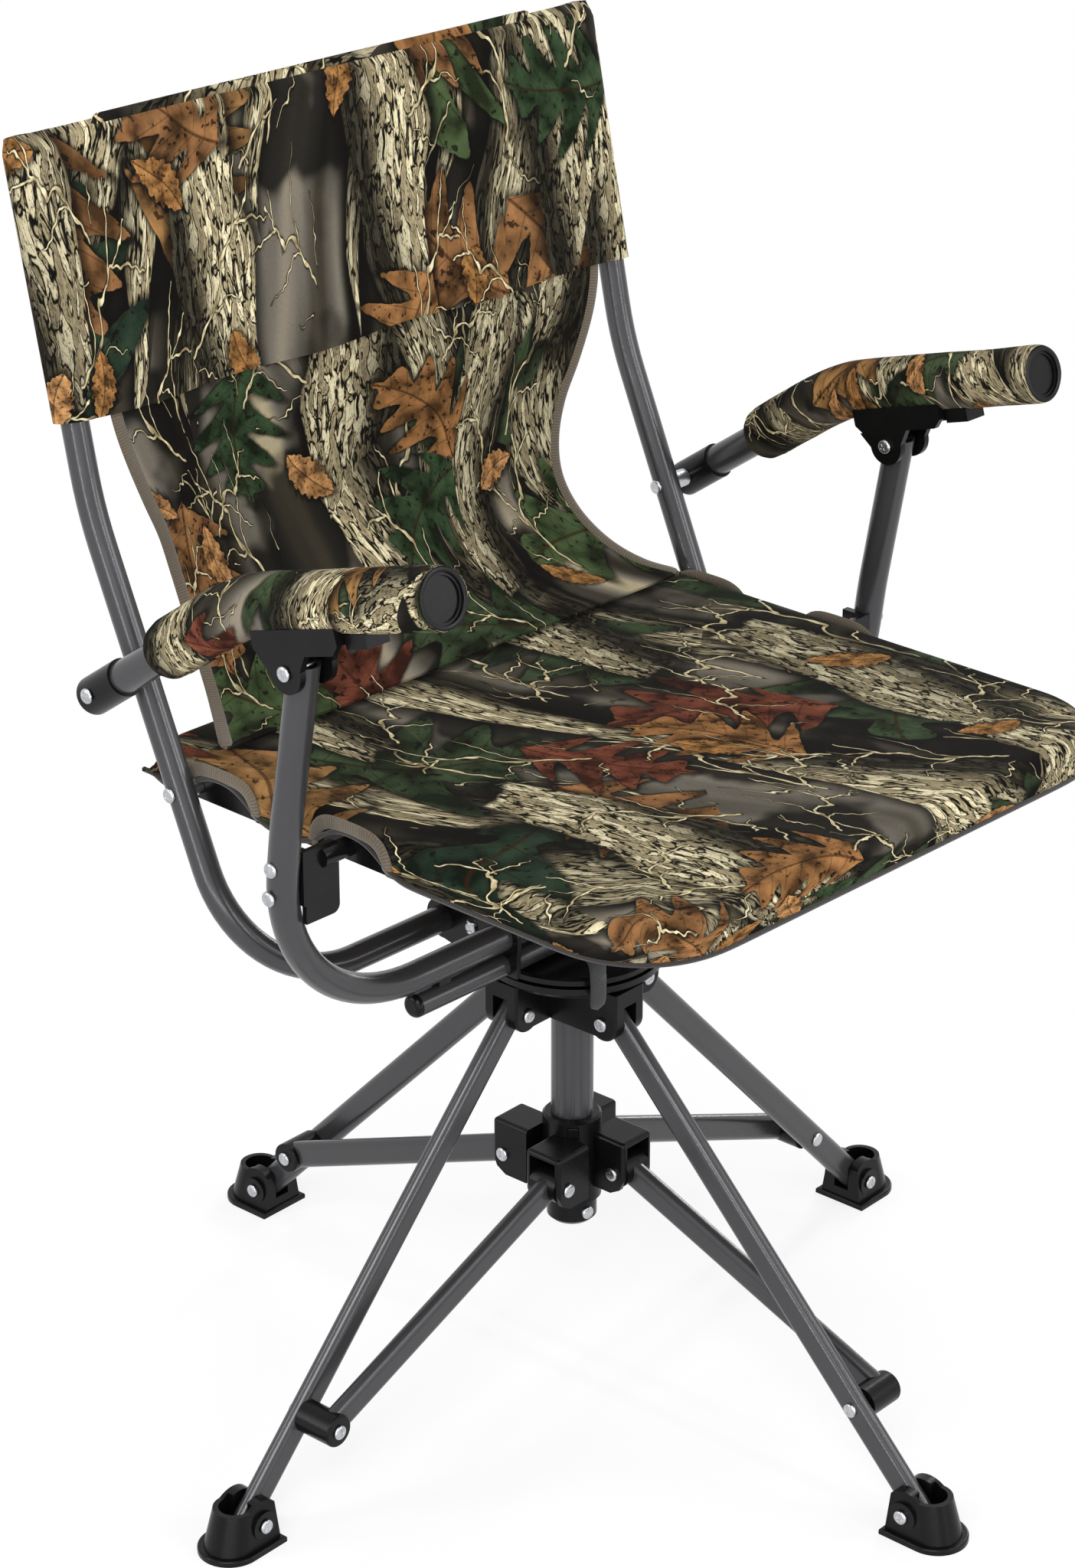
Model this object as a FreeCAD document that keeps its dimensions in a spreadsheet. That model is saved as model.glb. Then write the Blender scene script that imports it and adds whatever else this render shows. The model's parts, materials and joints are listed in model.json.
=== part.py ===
import FreeCAD, Part
import math
import os
import Sketcher

# Folding swivel chair: four hinged legs on a column, a swivel carrier with a
# front and a rear U-shaped hoop, a tilting seat frame, fabric back and padded arms.
# Millimetres. Origin on the floor under the swivel axis, +Z up, the sitter faces -Y.

V = FreeCAD.Vector
doc = FreeCAD.newDocument("swivel_chair")

SIZES = [
    # base
    ("column_radius", 16.0), ("column_wall", 1.8), ("column_bottom", 128.0),
    ("cap_radius", 19.0), ("cap_bottom", 125.0), ("cap_top", 145.0),
    ("column_groove", 0.5), ("column_groove_radius", 2.5),
    ("crown_pin_reach", 53.0), ("crown_pin_height", 316.0), ("crown_lobe_radius", 13.5),
    ("crown_ear_thick", 9.0), ("crown_boss_radius", 21.0), ("crown_bottom", 305.0),
    ("crown_top", 343.0), ("crown_web", 8.0), ("crown_roof_radius", 59.5), ("crown_edge_round", 2.0),
    ("disc_radius", 67.5), ("disc_thick", 7.0), ("bearing_thick", 2.0),
    ("plate_radius", 66.0), ("plate_thick", 6.0), ("kingpin_radius", 6.0),
    ("disc_bevel", 2.0), ("bearing_bore", 20.0), ("bearing_inset", 9.0),
    ("kingpin_nut_radius", 10.0), ("kingpin_nut_thick", 10.0), ("kingpin_tail", 3.0),
    # legs and feet
    ("leg_width", 22.0), ("leg_thick", 12.0), ("leg_wall", 1.5), ("leg_side_gap", 1.0),
    ("leg_offset", 13.0), ("foot_reach", 352.0), ("foot_pin_inset", 11.4), ("foot_pin_height", 19.0),
    ("leg_overrun", 6.0), ("foot_toe", 5.5), ("foot_heel", 14.0), ("foot_sole_lip", 4.5),
    ("foot_flange_thick", 4.5), ("foot_base_half", 19.5), ("foot_rim_half", 15.0), ("foot_rim_height", 33.5),
    ("foot_ear_radius", 18.5), ("foot_wall", 3.0), ("foot_heel_wall", 12.0), ("foot_well_depth", 14.0),
    ("foot_lug_radius", 11.0), ("foot_lug_half", 19.0),
    ("pin_radius", 3.0), ("screw_head_radius", 5.0), ("screw_head_thick", 2.4),
    ("running_gap", 0.06), ("slip_gap", 0.3),
    # struts and runner
    ("strut_reach_ratio", 0.8), ("strut_width", 22.0), ("strut_thick", 12.0),
    ("barrel_radius", 12.3), ("barrel_end", 25.3), ("strut_offset", 15.5),
    ("runner_pin_reach", 41.0), ("runner_pin_height", 175.0), ("barrel_edge_round", 1.6),
    ("runner_collar_radius", 22.5), ("runner_collar_top", 215.0), ("runner_box_top", 203.0),
    ("runner_box_bottom", 158.0), ("runner_box_reach", 52.0), ("runner_box_half", 16.5),
    ("runner_wall", 4.0), ("runner_edge_round", 3.2), ("runner_toe_rise", 15.0), ("runner_toe_run", 13.0),
    ("runner_bevel", 2.0),
    ("button_width", 8.0), ("button_height", 10.0), ("button_depth", 2.8), ("button_travel", 1.5),
    ("button_drop", 14.0), ("button_stand", 0.8),
    # carrier and hoops
    ("front_tube_radius", 11.0), ("rear_tube_radius", 10.0), ("tube_wall", 1.5),
    ("front_half_width", 308.0), ("hoop_nest_gap", 36.0), ("front_bend_radius", 140.0),
    ("rear_bend_radius", 100.0), ("front_knee_radius", 420.0), ("rear_knee_radius", 260.0),
    ("front_run_y", -4.0), ("front_run_z", 390.0), ("front_knee_y", -26.0), ("front_knee_z", 560.0),
    ("front_top_y", -47.0), ("front_top_z", 680.0), ("front_overrun", 4.0),
    ("rear_run_y", 56.0), ("rear_run_z", 385.0), ("rear_knee_y", 202.0), ("rear_knee_z", 716.0),
    ("rear_top_y", 253.0), ("rear_top_z", 955.0),
    ("bar_radius", 9.0), ("bar_half_length", 168.0), ("tab_inner_x", 58.0), ("tab_outer_x", 142.0),
    ("tab_length", 12.0), ("tab_thick", 8.0), ("bar_cap_thick", 5.0), ("bar_plug_length", 12.0),
    ("hoop_plug_length", 14.0), ("hoop_plug_thick", 4.0),
    ("hinge_plate_x", 78.0), ("hinge_plate_foot", 15.0), ("hinge_plate_thick", 4.0),
    ("hinge_eye_radius", 16.0), ("hinge_plate_lift", 2.0),
    ("lock_screw_high", 530.0), ("lock_screw_low", 508.0), ("lock_thick", 4.0), ("lock_leaf", 31.0),
    ("lock_flange_half", 11.0), ("lock_margin", 9.0), ("lock_foot_drop", 14.0), ("lock_corner", 6.0),
    ("lock_boss_radius", 7.0), ("lock_seat", 2.0),
    ("strap_width", 17.0), ("strap_thick", 1.8), ("strap_x", -43.0),
    ("strap_reach", 66.0), ("strap_end_z", 337.0), ("strap_rise", 4.0), ("strap_fall", 14.0),
    # seat
    ("rail_hoop_gap", 16.0), ("rail_width", 12.0), ("rail_height", 20.0), ("rail_bottom", 519.0),
    ("seat_front_y", -303.0), ("seat_rear_y", 170.0), ("seat_front_corner", 72.0),
    ("seat_rear_corner", 28.0), ("seat_pivot_y", 120.0), ("seat_pivot_z", 529.0),
    ("cover_skirt", 2.2), ("cover_thick", 8.0), ("cover_cutout", 35.0), ("cover_cut_rise", 1.0),
    ("cover_cut_corner", 10.0), ("cover_cut_slant", 6.0), ("rear_cutout_lead", 26.0),
    ("bush_radius", 7.0), ("bush_seat", 2.5),
    # back cover
    ("back_overrun", 12.0), ("back_depth", 190.0), ("cover_sleeve_radius", 13.5), ("panel_thick", 4.0),
    ("seam_inset", 29.0), ("waist_inset", 80.0), ("foot_inset", 60.0),
    ("panel_lap", 8.0), ("panel_belly", 20.0), ("panel_fullness", 4.0), ("panel_foot_drop", 12.0),
    ("panel_waist_z", 630.0), ("panel_foot_z", 563.0), ("panel_hang_y", 205.0), ("panel_foot_y", 146.0),
    # arms
    ("arm_pivot_y", 155.0), ("arm_pivot_z", 606.0), ("arm_bend_y", 8.0), ("arm_bend_z", 708.0),
    ("arm_front_y", -175.5), ("arm_front_z", 761.2), ("arm_tube_radius", 12.0),
    ("arm_bend_radius", 160.0), ("arm_sleeve_radius", 21.0), ("arm_sleeve_start", 80.0),
    ("arm_cap_radius", 18.0), ("arm_cap_thick", 8.0), ("arm_cap_recess", 1.5), ("arm_cap_rim", 3.0),
    ("arm_end_radius", 14.0), ("arm_end_length", 28.0), ("arm_end_overrun", 15.0), ("arm_end_round", 3.0),
    ("saddle_half_width", 16.8), ("saddle_lobe_radius", 14.5), ("saddle_wall", 5.0), ("saddle_skirt", 6.0),
    ("saddle_front", 56.0), ("saddle_rear", 26.0), ("saddle_rise", 9.0), ("saddle_floor", 4.0),
    ("saddle_ear_spread", 8.0), ("saddle_corner", 6.0), ("stop_length", 20.0), ("stop_width", 20.0),
    ("stop_drop", 29.0), ("stop_gap", 1.0),
]


class Size:
    """A length that keeps both its value and the expression that gives it."""

    def __init__(self, value, text):
        self.value = value
        self.text = text

    def _join(self, other, sign, value, swap=False):
        text = other.text if isinstance(other, Size) else repr(float(other))
        pair = (text, self.text) if swap else (self.text, text)
        return Size(value, "(%s %s %s)" % (pair[0], sign, pair[1]))

    def __add__(self, other):
        return self._join(other, "+", self.value + number(other))

    def __radd__(self, other):
        return self._join(other, "+", self.value + number(other), True)

    def __sub__(self, other):
        return self._join(other, "-", self.value - number(other))

    def __rsub__(self, other):
        return self._join(other, "-", number(other) - self.value, True)

    def __mul__(self, other):
        return self._join(other, "*", self.value * number(other))

    def __rmul__(self, other):
        return self._join(other, "*", self.value * number(other), True)

    def __truediv__(self, other):
        return self._join(other, "/", self.value / number(other))

    def __neg__(self):
        return Size(-self.value, "(-1 * %s)" % self.text)


def number(item):
    return item.value if isinstance(item, Size) else float(item)


class Sizes:
    """The spreadsheet's cells, read by their aliases."""

    def __init__(self):
        sheet = doc.addObject("Spreadsheet::Sheet", "Sizes")
        for row, (alias, value) in enumerate(SIZES, 1):
            cell = "B%d" % row
            sheet.set("A%d" % row, alias)
            sheet.set(cell, str(value))
            sheet.setAlias(cell, alias)
        doc.recompute()
        for alias, _ in SIZES:
            setattr(self, alias, Size(float(getattr(sheet, alias)), "Sizes." + alias))


S = Sizes()
# the rear hoop nests inside the front one, and the seat rail inside the rear hoop
S.rear_half_width = S.front_half_width - S.hoop_nest_gap
S.rail_half_width = S.rear_half_width - S.rail_hoop_gap
# each leg ends at a pin set in from the middle of its foot, and the back's sleeves pass over the hoop's ends
S.foot_pin_reach = S.foot_reach - S.foot_pin_inset
S.back_high_z = S.rear_top_z + S.back_overrun
S.back_low_z = S.back_high_z - S.back_depth
PARTS = {}
CUTS = {}
CARRIER_SCREWS = []


def bind(item, **sizes):
    """Bind an object's properties to the sheet."""
    for name, size in sizes.items():
        if isinstance(size, Size):
            item.setExpression(name, size.text)
        else:
            setattr(item, name, size)


def keep(node, item):
    """Name a finished sub-part after its node."""
    item.Label = node
    PARTS[node] = item
    return item


def shape_part(node, shape):
    """A sub-part whose shape comes from Part's own functions."""
    item = doc.addObject("Part::Feature", node)
    item.Shape = shape
    return keep(node, item)


def new_body(node):
    return doc.addObject("PartDesign::Body", node)


def plane_of(body, role):
    return [item for item in body.Origin.OriginFeatures if item.Role == role][0]


def new_sketch(body, name, role, offset=0.0):
    """A sketch on one of the body's own planes, moved along that plane's normal."""
    sketch = body.newObject("Sketcher::SketchObject", name)
    sketch.AttachmentSupport = [(plane_of(body, role), "")]
    sketch.MapMode = "FlatFace"
    if number(offset):
        if isinstance(offset, Size):
            sketch.setExpression("AttachmentOffset.Base.z", offset.text)
        else:
            sketch.AttachmentOffset = FreeCAD.Placement(V(0, 0, offset), FreeCAD.Rotation())
    return sketch


def hold(sketch, kind, first, point, size):
    """Fix one coordinate or radius of a sketch element to the sheet."""
    place = (first, point, number(size)) if kind != "Radius" else (first, number(size))
    index = sketch.addConstraint(Sketcher.Constraint(kind, *place))
    if isinstance(size, Size):
        sketch.setExpression("Constraints[%d]" % index, size.text)


def add_circle(sketch, x, y, radius):
    index = sketch.addGeometry(Part.Circle(V(number(x), number(y), 0), V(0, 0, 1), number(radius)), False)
    hold(sketch, "DistanceX", index, 3, x)
    hold(sketch, "DistanceY", index, 3, y)
    hold(sketch, "Radius", index, 0, radius)


def add_outline(sketch, points):
    """A closed outline of straight edges, each corner tied to the sheet."""
    count = len(points)
    first = sketch.GeometryCount
    for i in range(count):
        a, b = points[i], points[(i + 1) % count]
        sketch.addGeometry(Part.LineSegment(V(number(a[0]), number(a[1]), 0),
                                            V(number(b[0]), number(b[1]), 0)), False)
    for i in range(count):
        sketch.addConstraint(Sketcher.Constraint("Coincident", first + i, 2, first + (i + 1) % count, 1))
    for i in range(count):
        hold(sketch, "DistanceX", first + i, 1, points[i][0])
        hold(sketch, "DistanceY", first + i, 1, points[i][1])


def add_stadium(sketch, width, thick):
    """A flat-oval outline: two straight sides and two half-round ends, width along X."""
    half = number(width - thick) / 2
    r = number(thick) / 2
    first = sketch.GeometryCount
    sketch.addGeometry(Part.LineSegment(V(-half, r, 0), V(half, r, 0)), False)
    quarter, up = math.pi / 2, V(0, 0, 1)
    sketch.addGeometry(Part.ArcOfCircle(Part.Circle(V(half, 0, 0), up, r), -quarter, quarter), False)
    sketch.addGeometry(Part.LineSegment(V(half, -r, 0), V(-half, -r, 0)), False)
    sketch.addGeometry(Part.ArcOfCircle(Part.Circle(V(-half, 0, 0), up, r), quarter, 3 * quarter),
                       False)
    for a, pa, b, pb in ((0, 2, 1, 2), (1, 1, 2, 1), (2, 2, 3, 2), (3, 1, 0, 1)):
        sketch.addConstraint(Sketcher.Constraint("Tangent", first + a, pa, first + b, pb))
    hold(sketch, "DistanceX", first + 1, 3, (width - thick) / 2)
    hold(sketch, "DistanceY", first + 1, 3, 0.0)
    hold(sketch, "DistanceX", first + 3, 3, -(width - thick) / 2)
    hold(sketch, "DistanceY", first + 3, 3, 0.0)
    hold(sketch, "Radius", first + 1, 0, thick / 2)


def add_rounded(sketch, half_width, low, high, low_corner, high_corner):
    """A rectangle with a corner radius of its own at each end."""
    w, y0, y1 = number(half_width), number(low), number(high)
    a, b = number(low_corner), number(high_corner)
    first = sketch.GeometryCount
    arcs = ((w - a, y0 + a, a, -0.5, 0), (w - b, y1 - b, b, 0, 0.5),
            (-w + b, y1 - b, b, 0.5, 1), (-w + a, y0 + a, a, 1, 1.5))
    lines = ((w, y0 + a, w, y1 - b), (w - b, y1, -w + b, y1), (-w, y1 - b, -w, y0 + a),
             (-w + a, y0, w - a, y0))
    for (cx, cy, r, start, end), (x0, ya, x1, yb) in zip(arcs, lines):
        circle = Part.Circle(V(cx, cy, 0), V(0, 0, 1), r)
        sketch.addGeometry(Part.ArcOfCircle(circle, start * math.pi, end * math.pi), False)
        sketch.addGeometry(Part.LineSegment(V(x0, ya, 0), V(x1, yb, 0)), False)
    for i in range(8):
        sketch.addConstraint(Sketcher.Constraint("Tangent", first + i, 2, first + (i + 1) % 8, 1))
    hold(sketch, "DistanceX", first, 3, half_width - low_corner)
    hold(sketch, "DistanceY", first, 3, low + low_corner)
    hold(sketch, "Radius", first, 0, low_corner)
    hold(sketch, "DistanceX", first + 2, 3, half_width - high_corner)
    hold(sketch, "DistanceY", first + 2, 3, high - high_corner)
    hold(sketch, "Radius", first + 2, 0, high_corner)
    hold(sketch, "DistanceX", first + 4, 3, high_corner - half_width)
    hold(sketch, "DistanceX", first + 6, 3, low_corner - half_width)
    hold(sketch, "Radius", first + 4, 0, high_corner)
    hold(sketch, "Radius", first + 6, 0, low_corner)


def pad(body, sketch, length, both_ways=False, reverse=False):
    item = body.newObject("PartDesign::Pad", sketch.Name + "_pad")
    item.Profile = sketch
    bind(item, Length=length)
    item.Midplane = both_ways
    item.Reversed = reverse
    return item


def pocket(body, sketch, length, both_ways=False, reverse=False):
    item = body.newObject("PartDesign::Pocket", sketch.Name + "_cut")
    item.Profile = sketch
    bind(item, Length=length)
    item.Midplane = both_ways
    item.Reversed = reverse
    return item


def revolve(body, sketch):
    """Turn a profile, drawn with X as radius, about the sketch's vertical axis."""
    item = body.newObject("PartDesign::Revolution", sketch.Name + "_turn")
    item.Profile = sketch
    item.ReferenceAxis = (sketch, ["V_Axis"])
    item.Angle = 360
    return item


def four_times(body, originals):
    """Repeat features round the body's vertical axis."""
    item = body.newObject("PartDesign::PolarPattern", body.Name + "_four")
    item.Originals = originals
    item.Axis = (plane_of(body, "Z_Axis"), [""])
    item.Angle = 360
    item.Occurrences = 4
    body.Tip = item
    return item


def turned_body(node, profile):
    """One revolved piece from its half section."""
    body = new_body(node)
    sketch = new_sketch(body, node + "_section", "XZ_Plane")
    add_outline(sketch, profile)
    revolve(body, sketch)
    return keep(node, body)


# ---------------------------------------------------------------- plain solids from Part

def cylinder(start, end, radius):
    """A solid round bar between two points."""
    axis = end - start
    return Part.makeCylinder(number(radius), axis.Length, start, axis)


def screw(start, end, radius=None):
    """A cross-bolt between two outer faces, with a low round head at each end."""
    radius = number(radius or S.pin_radius)
    axis = (end - start).normalize()
    head = number(S.screw_head_thick)
    solid = cylinder(start, end, radius)
    for point, way in ((start, -axis), (end, axis)):
        cap = Part.makeCylinder(number(S.screw_head_radius), head, point, way)
        rim = [edge for edge in cap.Edges if edge.Curve.TypeId == "Part::GeomCircle"
               and (edge.Curve.Center - point).dot(way) > head / 2]
        solid = solid.fuse(cap.makeFillet(head * 0.45, rim))
    return solid.removeSplitter()


def rounded_path(points, radii):
    """Straight runs joined by tangent arcs, as one wire."""
    edges = []
    here = points[0]
    for i in range(1, len(points) - 1):
        before = (points[i - 1] - points[i]).normalize()
        after = (points[i + 1] - points[i]).normalize()
        half = before.getAngle(after) / 2
        reach = radii[i - 1] / math.tan(half)
        start = points[i] + before * reach
        end = points[i] + after * reach
        centre = points[i] + (before + after).normalize() * (radii[i - 1] / math.sin(half))
        middle = centre + (points[i] - centre).normalize() * radii[i - 1]
        edges.append(Part.makeLine(here, start))
        edges.append(Part.Arc(start, middle, end).toShape())
        here = end
    edges.append(Part.makeLine(here, points[-1]))
    return Part.Wire(edges)


def pipe(path, radius):
    """A solid round bar swept along a path."""
    first = path.Edges[0]
    start = first.valueAt(first.FirstParameter)
    way = first.tangentAt(first.FirstParameter)
    section = Part.Wire(Part.makeCircle(number(radius), start, way))
    return path.makePipeShell([section], True, False)


def tube(path, radius, wall):
    return pipe(path, radius).cut(pipe(path, number(radius) - number(wall)))


def around(shape, angle):
    """A copy turned about the swivel axis."""
    copy = shape.copy()
    copy.rotate(V(0, 0, 0), V(0, 0, 1), angle)
    return copy


def mirrored(shape):
    return shape.mirror(V(0, 0, 0), V(1, 0, 0))


# The legs stand at front, right, back and left. Each leg and its strut swing in two planes
# either side of the column, like a pinwheel, so the base is turned to bring the feet square.
BASE_SKEW = 2.1
LEG_TURNS = tuple(turn + BASE_SKEW for turn in (-90.0, 0.0, 90.0, 180.0))


def leg_frame(k, place):
    """A placement in one leg's own frame, turned to that leg."""
    turn = FreeCAD.Placement(V(0, 0, 0), FreeCAD.Rotation(V(0, 0, 1), LEG_TURNS[k - 1]))
    return turn.multiply(place)


def prism(points, low, high):
    """A solid from a straight-edged outline in the XZ plane, between two levels of Y."""
    outline = [V(number(x), number(low), number(z)) for x, z in points]
    return Part.Face(Part.makePolygon(outline + outline[:1])).extrude(V(0, number(high) - number(low), 0))


def bar_across(x, z, radius, low, high):
    """A round bar along Y, between two levels of Y."""
    return cylinder(V(number(x), number(low), number(z)), V(number(x), number(high), number(z)), radius)


def turned(profile):
    """A solid turned about the swivel axis from its half section."""
    outline = [V(number(x), 0, number(z)) for x, z in profile]
    return Part.Face(Part.makePolygon(outline + outline[:1])).revolve(V(0, 0, 0), V(0, 0, 1), 360)


def axis_frame(start, way, side=V(0, 1, 0)):
    """A placement at start whose Z runs along way and whose Y lies nearest to side."""
    z = V(way).normalize()
    y = (side - z * side.dot(z)).normalize()
    return FreeCAD.Placement(start, FreeCAD.Rotation(y.cross(z), y, z, "ZYX"))


# ---------------------------------------------------------------- column and swivel

def make_column():
    """The column, an extruded tube with eight shallow grooves, and its screwed-on bottom cap."""
    low, high = number(S.column_bottom), number(S.crown_top - S.crown_web)
    radius, groove = number(S.column_radius), number(S.column_groove_radius)
    column = Part.makeCylinder(radius, high - low, V(0, 0, low))
    column = column.cut(Part.makeCylinder(radius - number(S.column_wall), high - low, V(0, 0, low)))
    centre = V(radius + groove - number(S.column_groove), 0, low)
    for i in range(8):
        column = column.cut(around(Part.makeCylinder(groove, high - low, centre), 45 * i))
    shape_part("column_tube", column)
    corner = S.cap_radius - S.column_radius
    turned_body("column_cap", [
        (0.0, S.cap_bottom), (S.cap_radius - corner, S.cap_bottom), (S.cap_radius, S.cap_bottom + corner),
        (S.cap_radius, S.cap_top), (S.column_radius, S.cap_top), (S.column_radius, S.column_bottom),
        (0.0, S.column_bottom)])
    level = number(S.cap_bottom + S.cap_top) / 2
    way = V(1, 0, 0)
    reach = number(S.cap_radius)
    deep = 2 * number(corner)
    screw_piece = screw_head(V(reach - deep, 0, level), way, deep)
    hole = cylinder(V(reach - deep, 0, level), V(reach, 0, level), S.pin_radius)
    shape_part("cap_screw", around(screw_piece, CAP_SCREW_TURN))
    for node in ("column_cap", "column_tube"):
        cut_later(node, around(hole, CAP_SCREW_TURN))


CAP_SCREW_TURN = -100.0


def cut_later(node, tool):
    """Remember a small hole that a fastener of the same body needs in a finished piece."""
    CUTS.setdefault(node, []).append(tool)


def screw_head(start, way, length):
    """A screw with one low round head: shank from start, head at start plus length."""
    end = start + way * length
    head = number(S.screw_head_thick)
    cap = Part.makeCylinder(number(S.screw_head_radius), head, end, way)
    rim = [edge for edge in cap.Edges if edge.Curve.TypeId == "Part::GeomCircle"
           and (edge.Curve.Center - end).dot(way) > head / 2]
    return cylinder(start, end, S.pin_radius).fuse(cap.makeFillet(head * 0.45, rim)).removeSplitter()


def make_crown():
    """The head of the column: a boss under a roof, with four clevises set round it like a pinwheel."""
    reach, height, radius = S.crown_pin_reach, S.crown_pin_height, S.crown_lobe_radius
    bore = S.kingpin_radius + S.running_gap
    ceiling = S.crown_top - S.crown_web
    head = turned([
        (S.column_radius, S.crown_bottom), (S.crown_boss_radius, S.crown_bottom),
        (S.crown_boss_radius, ceiling), (S.crown_roof_radius, S.crown_top - S.crown_web / 2),
        (S.crown_roof_radius, S.crown_top), (bore, S.crown_top), (bore, ceiling),
        (S.column_radius, ceiling)])
    # one clevis: two ears with round lobes, then the skirt that runs on to its neighbour
    slot_half = S.leg_thick / 2 + S.leg_side_gap
    near = slot_half + S.crown_ear_thick - S.leg_offset
    far = -slot_half - S.crown_ear_thick - S.leg_offset
    outer = reach + radius
    inner = S.column_radius + S.column_wall
    ears = prism([(inner, S.crown_top), (outer, S.crown_top), (outer, height), (reach, S.crown_bottom),
                  (inner, S.crown_bottom)], far, near)
    ears = ears.fuse(bar_across(reach, height, radius, far, near)).removeSplitter()
    past = number(reach) + 1
    rims = [edge for edge in ears.Edges if edge.BoundBox.YLength < 0.01 and edge.BoundBox.XMax > past
            and edge.BoundBox.ZLength > 1]
    ears = ears.makeFillet(number(S.crown_edge_round), rims)
    skirt = prism([(near, S.crown_top), (reach, S.crown_top), (reach, S.crown_bottom),
                   (near, S.crown_bottom)], far, far + S.crown_ear_thick)
    slot_in = reach - S.leg_width / 2 - S.leg_side_gap * 3
    room = radius + S.leg_side_gap
    slot = prism([(slot_in, height + room), (outer + radius, height + room), (outer + radius, height - room),
                  (slot_in, height - room)], -slot_half - S.leg_offset, slot_half - S.leg_offset)
    hole = bar_across(reach, height, S.pin_radius, far - S.leg_thick, near + S.leg_thick)
    start, end = [V(number(reach), number(side), number(height)) for side in (far, near)]
    pin = screw(start, end)
    clevis = ears.fuse(skirt).removeSplitter()
    head = head.fuse([around(clevis, turn) for turn in LEG_TURNS])
    head = head.cut([around(tool, turn) for tool in (slot, hole) for turn in LEG_TURNS])
    shape_part("crown_hub", head.removeSplitter())
    shape_part("crown_pins", Part.makeCompound([around(pin, turn) for turn in LEG_TURNS]))


def make_swivel():
    low = S.crown_top
    bore = S.kingpin_radius + S.running_gap
    ring = low + S.disc_thick
    rim = S.disc_radius - S.disc_bevel
    turned_body("lower_disc", [
        (bore, low), (rim, low), (S.disc_radius, low + S.disc_bevel), (S.disc_radius, ring), (bore, ring)])
    plate = ring + S.bearing_thick
    edge = S.disc_radius - S.bearing_inset
    turned_body("bearing_ring", [(S.bearing_bore, ring), (edge, ring), (edge, plate), (S.bearing_bore, plate)])
    top = plate + S.plate_thick
    turned_body("swivel_plate", [
        (S.kingpin_radius, plate), (S.plate_radius, plate), (S.plate_radius, top - S.disc_bevel),
        (S.plate_radius - S.disc_bevel, top), (S.kingpin_radius, top)])
    nut = S.crown_top - S.crown_web - S.slip_gap
    under = nut - S.kingpin_nut_thick
    tail = under - S.kingpin_tail
    turned_body("kingpin", [
        (0.0, tail), (S.kingpin_radius, tail), (S.kingpin_radius, under), (S.kingpin_nut_radius, under),
        (S.kingpin_nut_radius, nut), (S.kingpin_radius, nut), (S.kingpin_radius, top), (0.0, top)])
    return top


# ---------------------------------------------------------------- legs, struts, feet

def leg_points():
    """Crown pin, strut bolt and foot pin in the plane of a leg."""
    top = V(number(S.crown_pin_reach), -number(S.leg_offset), number(S.crown_pin_height))
    foot = V(number(S.foot_pin_reach), -number(S.leg_offset), number(S.foot_pin_height))
    return top, top + (foot - top) * number(S.strut_reach_ratio), foot


def flat_tube(node, length, width, thick, wall, frame):
    body = new_body(node)
    sketch = new_sketch(body, node + "_oval", "XY_Plane")
    add_stadium(sketch, width, thick)
    add_stadium(sketch, width - wall * 2, thick - wall * 2)
    pad(body, sketch, length)
    body.Placement = frame
    return body


def make_leg(k):
    top, joint, foot = leg_points()
    way = (foot - top).normalize()
    over = number(S.leg_overrun)
    length = (foot - top).Length + 2 * over
    node = "leg_%d" % k
    frame = leg_frame(k, axis_frame(top - way * over, way))
    body = flat_tube(node, length, S.leg_width, S.leg_thick, S.leg_wall, frame)
    holes = new_sketch(body, node + "_holes", "XZ_Plane")
    add_circle(holes, 0.0, S.leg_overrun, S.pin_radius + S.running_gap)
    add_circle(holes, 0.0, over + (joint - top).Length, S.pin_radius)
    add_circle(holes, 0.0, over + (foot - top).Length, S.pin_radius)
    pocket(body, holes, S.leg_thick * 2, both_ways=True)
    keep(node, body)
    # the strut bolt's nut end, and the pin that carries the foot
    half = number(S.leg_thick) / 2
    bolt = screw_head(joint + V(0, half, 0), V(0, -1, 0), 2 * half)
    lug = number(S.foot_lug_half + S.slip_gap)
    pin = screw(foot - V(0, lug, 0), foot + V(0, lug, 0))
    shape_part("leg_bolts_%d" % k, around(Part.makeCompound([bolt, pin]), LEG_TURNS[k - 1]))


def strut_ends():
    joint = leg_points()[1]
    inner = V(number(S.runner_pin_reach), number(S.strut_offset), number(S.runner_pin_height))
    return inner, V(joint.x, inner.y, joint.z)


def runner_sides():
    """Both sides of a runner box, which is centred on its strut."""
    return S.strut_offset - S.runner_box_half, S.strut_offset + S.runner_box_half


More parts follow.
